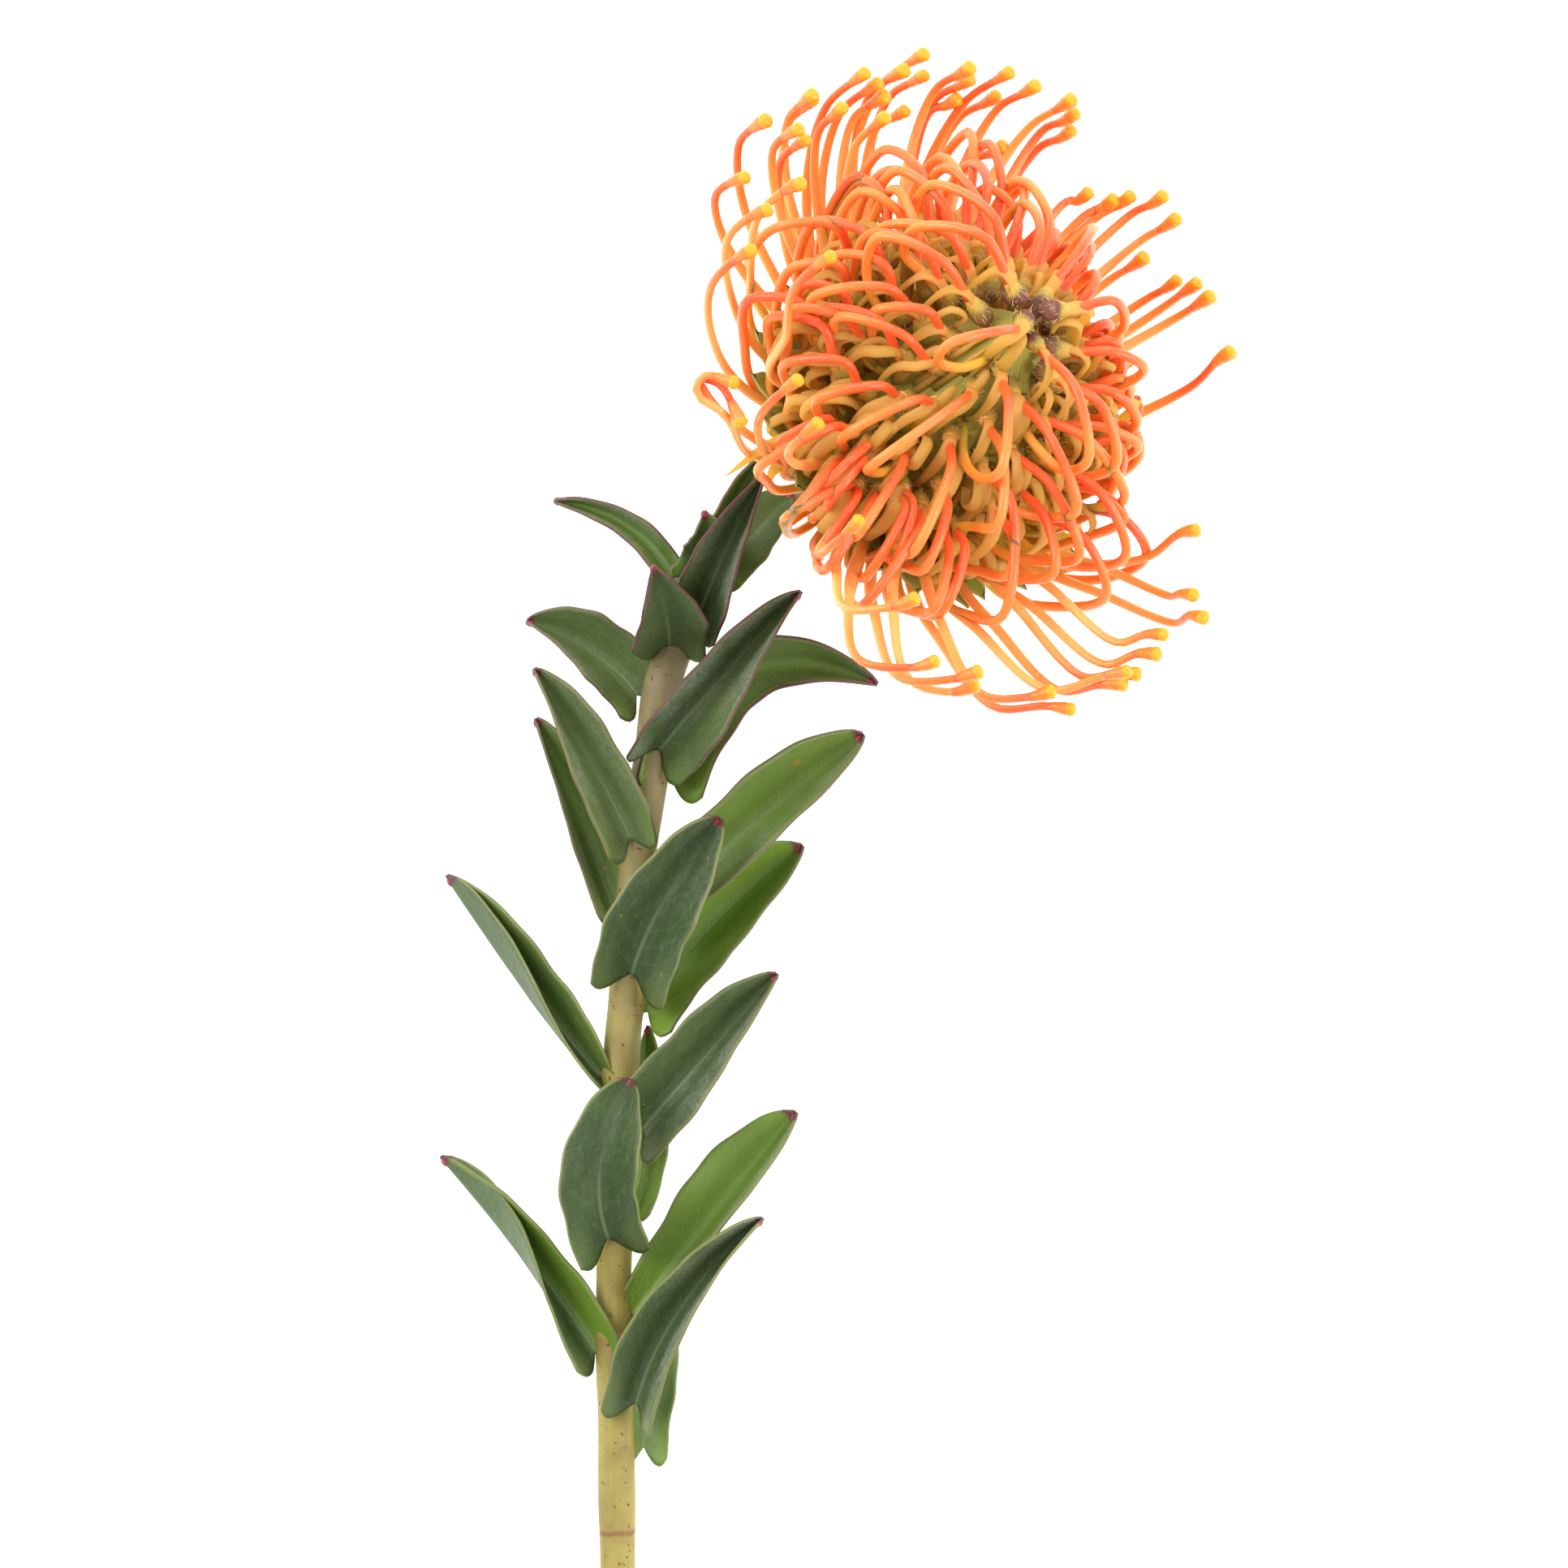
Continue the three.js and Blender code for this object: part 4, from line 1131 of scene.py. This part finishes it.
class BuildOpenStyles(bpy.types.Operator):
    """Free styles round the rim of the head"""

    bl_idname = "protea.open_styles"
    bl_label = "Open styles"

    def execute(self, context):
        sizes = context.scene.protea_sizes
        colours = context.scene.protea_colours
        piece = Piece("along", "tone")
        blank = straight_rod("open style blank", 10, 36)
        radius = sizes.style_radius / MM

        def width(share):
            return radius * (0.85 + 0.5 * (1 - ease(0.3, 1, share)))

        for number in range(len(OPEN_TIPS)):
            route, turn = open_style_route(sizes, number)
            last = 1 - (sizes.presenter_length / MM - PRESENTER_OVERLAP) / route_length(route)
            piece.add_rod(
                blank, route, aside(turn), width, depth=radius * 0.85, last=last,
                tone=noise(number + 0.8),
            )
        finish = style_finish("open style flesh", colours, (
            (0.0, colours.style_foot), (0.14, colours.style_foot), (0.34, colours.style_pale),
            (0.62, colours.style_pale), (0.84, colours.style_bend), (1.0, colours.style_top)))
        piece.finish("open_styles", "flower", [finish], nodes=["flower_head"])
        return {"FINISHED"}


class BuildPresenters(bpy.types.Operator):
    """Thick pollen presenters at the tips of the open styles"""

    bl_idname = "protea.presenters"
    bl_label = "Pollen presenters"

    def execute(self, context):
        sizes = context.scene.protea_sizes
        colours = context.scene.protea_colours
        piece = Piece("along")
        blank = straight_rod("presenter blank", 12, 18)
        for number in range(len(OPEN_TIPS)):
            route, turn = open_style_route(sizes, number)
            first = 1 - sizes.presenter_length / MM / route_length(route)
            size = sizes.presenter_radius / MM * (1 + spread(number + 0.25, 0.08))
            piece.add_rod(
                blank, route, aside(turn), lambda share: size * profile(PRESENTER_SHAPE, share),
                first=first,
            )
        finish = Finish("presenter flesh", roughness=0.36)
        skin = finish.ramp(
            finish.value("along"), (0.0, colours.style_top), (0.3, colours.presenter),
            (0.7, colours.presenter), (0.74, colours.pollen), (1.0, colours.pollen),
        )
        grain = finish.cloud(1500, detail=3)
        dusty = finish.times(finish.band(grain, 0.45, 0.7), 0.25)
        skin = finish.blend(dusty, skin, colours.style_low)
        finish.bump(grain, 0.25, 0.15)
        finish.flesh(0.25, 1.0)
        piece.finish("pollen_presenters", "presenter", [finish.colour(skin)])
        return {"FINISHED"}


def bare_strip_route(sizes, number):
    """Route and turn of a straw-coloured strip that lies up the bare part of the cone."""
    turn = PARTING_TURN + spread(number + 0.33, PARTING_HALF)
    start = mix(26, 35, noise(number + 0.43))
    end = start + mix(6, 11, noise(number + 0.53))
    middle = mix(start, end, 0.5)
    route = [
        head_point(start, cone_radius(sizes, start), turn),
        head_point(middle, cone_radius(sizes, middle) + 0.8, turn * 0.95),
        head_point(end, cone_radius(sizes, end) + 1.6 + spread(number + 0.63, 1), turn * 0.85),
    ]
    return route, turn


def curl_route(sizes, number, turn):
    """Route of the rolled-back case of an open floret."""
    start = mix(2, 24, noise(number + 0.45))
    root = cone_radius(sizes, start)
    reach = 9 + spread(number + 0.55, 2.5)
    roll = 2.8 + spread(number + 0.65, 0.8)
    lean = spread(number + 0.75, 0.2)
    return pressed([
        head_point(start, root - ROOT_DEPTH, turn),
        head_point(start + 4, root + reach * 0.45, turn + lean * 0.3),
        head_point(start + 7, root + reach * 0.9, turn + lean * 0.7),
        head_point(start + 5, root + reach + roll * 0.7, turn + lean),
        head_point(start + 5 - roll, root + reach, turn + lean),
        head_point(start + 5.5 - roll, root + reach - roll, turn + lean),
    ], CURL_LEAST)


class BuildCases(bpy.types.Operator):
    """Straps that carry the knobs, and the rolled-back cases of the open florets"""

    bl_idname = "protea.cases"
    bl_label = "Bud cases"

    def execute(self, context):
        sizes = context.scene.protea_sizes
        colours = context.scene.protea_colours
        half = sizes.strap_width / MM
        depth = STRAP_HALF_DEPTH
        blank = straight_rod("case blank", 8, 18)
        straps = Piece("along", "across", "tone")
        for number, turn, share in held_places(sizes):
            _, carrier, free = held_floret(sizes, number, turn, share)
            wide = half * (1 + spread(number + 0.85, 0.25))
            straps.add_rod(
                blank, carrier, aside(turn), lambda along: wide * mix(0.6, 1.1, ease(0.2, 0.8, along)),
                depth, cup=0.4, tone=noise(number + 0.15),
            )
            if share > FREE_STRAPS_TO or noise(number + 0.85) < FREE_STRAPS_MISSING:
                continue
            straps.add_rod(
                blank, free, aside(turn), lambda along: wide * (0.08 + 0.9 * (1 - along ** 4)),
                depth, cup=0.45, tone=noise(number + 0.95),
            )
        for number in range(sizes.bare_strips):
            route, turn = bare_strip_route(sizes, number)
            straps.add_rod(
                blank, route, aside(turn), lambda along: half * (0.06 + 0.6 * (1 - along ** 3)),
                depth, cup=0.35, tone=0.0,
            )
        for *places, wide in LOOSE_STRIPS:
            route = [head_point(height, *seen_at(x, y, height)) for x, y, height in places]
            straps.add_rod(
                blank, route, HEAD_SIDE, lambda along: wide * (0.08 + 0.92 * (1 - along ** 3)),
                depth, cup=0.3, tone=0.1,
            )
        curls = Piece("along", "across", "tone")
        for number in range(2 * len(OPEN_TIPS)):
            turn = (number + 0.5) * GOLDEN_ANGLE
            curls.add_rod(
                blank, curl_route(sizes, number, turn), aside(turn),
                lambda along: half * (1.4 - 0.5 * along), depth, cup=-0.45, tone=noise(number + 0.15),
            )
        finish = felt_finish("strap flesh", colours, colours.strap_deep, colours.strap, 0.6)
        straps.finish("case_straps", "case", [finish])
        curls.finish("case_curls", "case", [finish])
        return {"FINISHED"}


def knob_places(sizes):
    """Number and turn of each knob, where it starts, which way it points and how dark it is."""
    places = []
    for number, turn, share in held_places(sizes):
        _, carrier, _ = held_floret(sizes, number, turn, share)
        inward = head_point(0, 0, 0) - head_point(0, 1, turn)
        way = inward - HEAD_AXIS * mix(0.3, 0.8, share) + aside(turn) * spread(number + 0.5, 0.4)
        places.append((number, turn, carrier[-1], way.normalized(), 1 - share * 0.7))
    return places


def hair_route(sizes, path, seed, way, turn, radius):
    """Route of one hair: out of the knob's skin and bent towards the knob's tip."""
    share = 0.12 + 0.83 * noise(seed)
    angle = math.tau * noise(seed + 0.3)
    wide = (aside(turn) - way * way.dot(aside(turn))).normalized()
    out = wide * math.cos(angle) + way.cross(wide) * math.sin(angle)
    middle = path[round(share * (len(path) - 1))]
    root = middle + out * (radius * profile(KNOB_SHAPE, share) - 0.1)
    length = sizes.hair_length / MM * (0.5 + 0.5 * noise(seed + 0.6))
    lie = out + way * 1.1 + HEAD_AXIS * spread(seed + 0.8, 0.4)
    bend = root + lie.normalized() * length * 0.6
    return pressed([root, bend, root + (lie + way).normalized() * length], HAIR_LEAST)


def knob_finish(colours):
    """Hairy skin of a knob: golden at its root, olive in the middle and brown-purple at its end."""
    finish = Finish("knob skin", roughness=0.7)
    clouds = finish.cloud(420, detail=3)
    along = finish.plus(finish.value("along"), finish.times(finish.minus(clouds, 0.5), 0.5))
    fresh = finish.ramp(
        along, (0.0, colours.knob_root), (0.4, colours.knob_olive), (0.6, colours.knob_olive),
        (0.95, colours.knob),
    )
    old = finish.ramp(
        along, (0.0, colours.knob_root), (0.3, colours.knob_olive), (0.5, colours.knob)
    )
    skin = finish.blend(finish.band(finish.value("tone"), 0.55, 0.9), fresh, old)
    strands = finish.cloud(1, detail=4, where=finish.stretch((2200, 900, 2200)))
    skin = finish.blend(finish.times(finish.band(strands, 0.5, 0.8), 0.3), skin, colours.hair)
    finish.bump(strands, 0.7, 0.3)
    return finish.colour(skin)


class BuildKnobs(bpy.types.Operator):
    """Hairy knobs that hold the tips of the looped styles"""

    bl_idname = "protea.knobs"
    bl_label = "Knobs"

    def execute(self, context):
        sizes = context.scene.protea_sizes
        colours = context.scene.protea_colours
        knobs = Piece("along", "tone")
        hairs = Piece("along")
        steps = 10
        blank = straight_rod("knob blank", 12, steps)
        strand_steps = 3
        strand = straight_rod("hair blank", 3, strand_steps)
        length = sizes.knob_length / MM
        for number, turn, place, way, dark in knob_places(sizes):
            size = 1 + spread(number + 0.12, 0.15)
            radius = sizes.knob_radius / MM * size
            end = place + way * (length * size - 1.2)
            route = pressed([place - way * 1.2, place + way * length * 0.4, end], KNOB_LEAST)
            knobs.add_rod(
                blank, route, aside(turn), lambda share: radius * profile(KNOB_SHAPE, share),
                tone=dark,
            )
            path = smooth_path(route, steps)
            for hair in range(HAIRS_EACH):
                hairs.add_rod(
                    strand, hair_route(sizes, path, number * 31.7 + hair, way, turn, radius),
                    aside(turn + 0.7), lambda share: HAIR_RADIUS * (1.1 - share),
                )
        knobs.finish("knobs", "knob", [knob_finish(colours)])
        white = Finish("white hair", roughness=0.5)
        hair_colour = white.blend(white.cloud(300), colours.hair, colours.strap)
        hairs.finish("knob_hairs", "knob", [white.colour(hair_colour)])
        return {"FINISHED"}


class BuildStage(bpy.types.Operator):
    """Pale floor, soft light and the camera that looks straight down"""

    bl_idname = "protea.stage"
    bl_label = "Stage"

    def execute(self, context):
        scene = context.scene
        bm = bmesh.new()
        bmesh.ops.create_grid(bm, x_segments=2, y_segments=2, size=FLOOR_HALF)
        mesh = bpy.data.meshes.new("floor")
        bm.to_mesh(mesh)
        bm.free()
        floor = bpy.data.objects.new("floor", mesh)
        scene.collection.objects.link(floor)
        paint = Finish("pale floor", roughness=0.9)
        paint.skin.inputs["Emission Color"].default_value = WHITE
        paint.skin.inputs["Emission Strength"].default_value = FLOOR_GLOW
        mesh.materials.append(paint.colour(FLOOR_GREY))

        world = bpy.data.worlds.new("soft daylight")
        world.use_nodes = True
        sky = world.node_tree.nodes["Background"]
        sky.inputs["Color"].default_value = WHITE
        sky.inputs["Strength"].default_value = SKY_STRENGTH
        scene.world = world
        middle = -REST * MM
        for name, place, size, power in WINDOWS:
            lamp = bpy.data.lights.new(name, "AREA")
            lamp.size = size
            lamp.energy = power
            light = bpy.data.objects.new(name, lamp)
            light.location = middle + Vector(place)
            light.rotation_euler = (middle - light.location).to_track_quat("-Z", "Y").to_euler()
            scene.collection.objects.link(light)

        lens = bpy.data.cameras.new("camera")
        lens.sensor_width = 36
        lens.lens = lens.sensor_width * CAMERA_HEIGHT / PICTURE_WIDTH
        lens.clip_end = 20
        camera = bpy.data.objects.new("camera", lens)
        camera.location = middle + Vector((0, 0, CAMERA_HEIGHT))
        scene.collection.objects.link(camera)
        scene.camera = camera
        scene.view_settings.view_transform = "Standard"
        return {"FINISHED"}


BUILDERS = (
    BuildStem, BuildLeaves, BuildReceptacle, BuildBracts, BuildHeldStyles, BuildOpenStyles,
    BuildPresenters, BuildCases, BuildKnobs, BuildStage,
)


class ProteaPanel(bpy.types.Panel):
    """Lists the sizes, the colours and a button for each piece."""

    bl_idname = "VIEW3D_PT_protea"
    bl_label = "Pincushion protea"
    bl_space_type = "VIEW_3D"
    bl_region_type = "UI"
    bl_category = "Protea"

    def draw(self, context):
        layout = self.layout
        for group in (context.scene.protea_sizes, context.scene.protea_colours):
            for name in type(group).__annotations__:
                layout.prop(group, name)
        for builder in BUILDERS:
            layout.operator(builder.bl_idname)


CLASSES = (ProteaSizes, ProteaColours, *BUILDERS, ProteaPanel)


def register():
    for cls in CLASSES:
        bpy.utils.register_class(cls)
    bpy.types.Scene.protea_sizes = PointerProperty(type=ProteaSizes)
    bpy.types.Scene.protea_colours = PointerProperty(type=ProteaColours)


def unregister():
    del bpy.types.Scene.protea_colours
    del bpy.types.Scene.protea_sizes
    for cls in reversed(CLASSES):
        bpy.utils.unregister_class(cls)


def main():
    register()
    for build in (
        bpy.ops.protea.stem, bpy.ops.protea.leaves, bpy.ops.protea.receptacle, bpy.ops.protea.bracts,
        bpy.ops.protea.held_styles, bpy.ops.protea.open_styles, bpy.ops.protea.presenters,
        bpy.ops.protea.cases, bpy.ops.protea.knobs, bpy.ops.protea.stage,
    ):
        build()


if __name__ == "__main__":
    main()
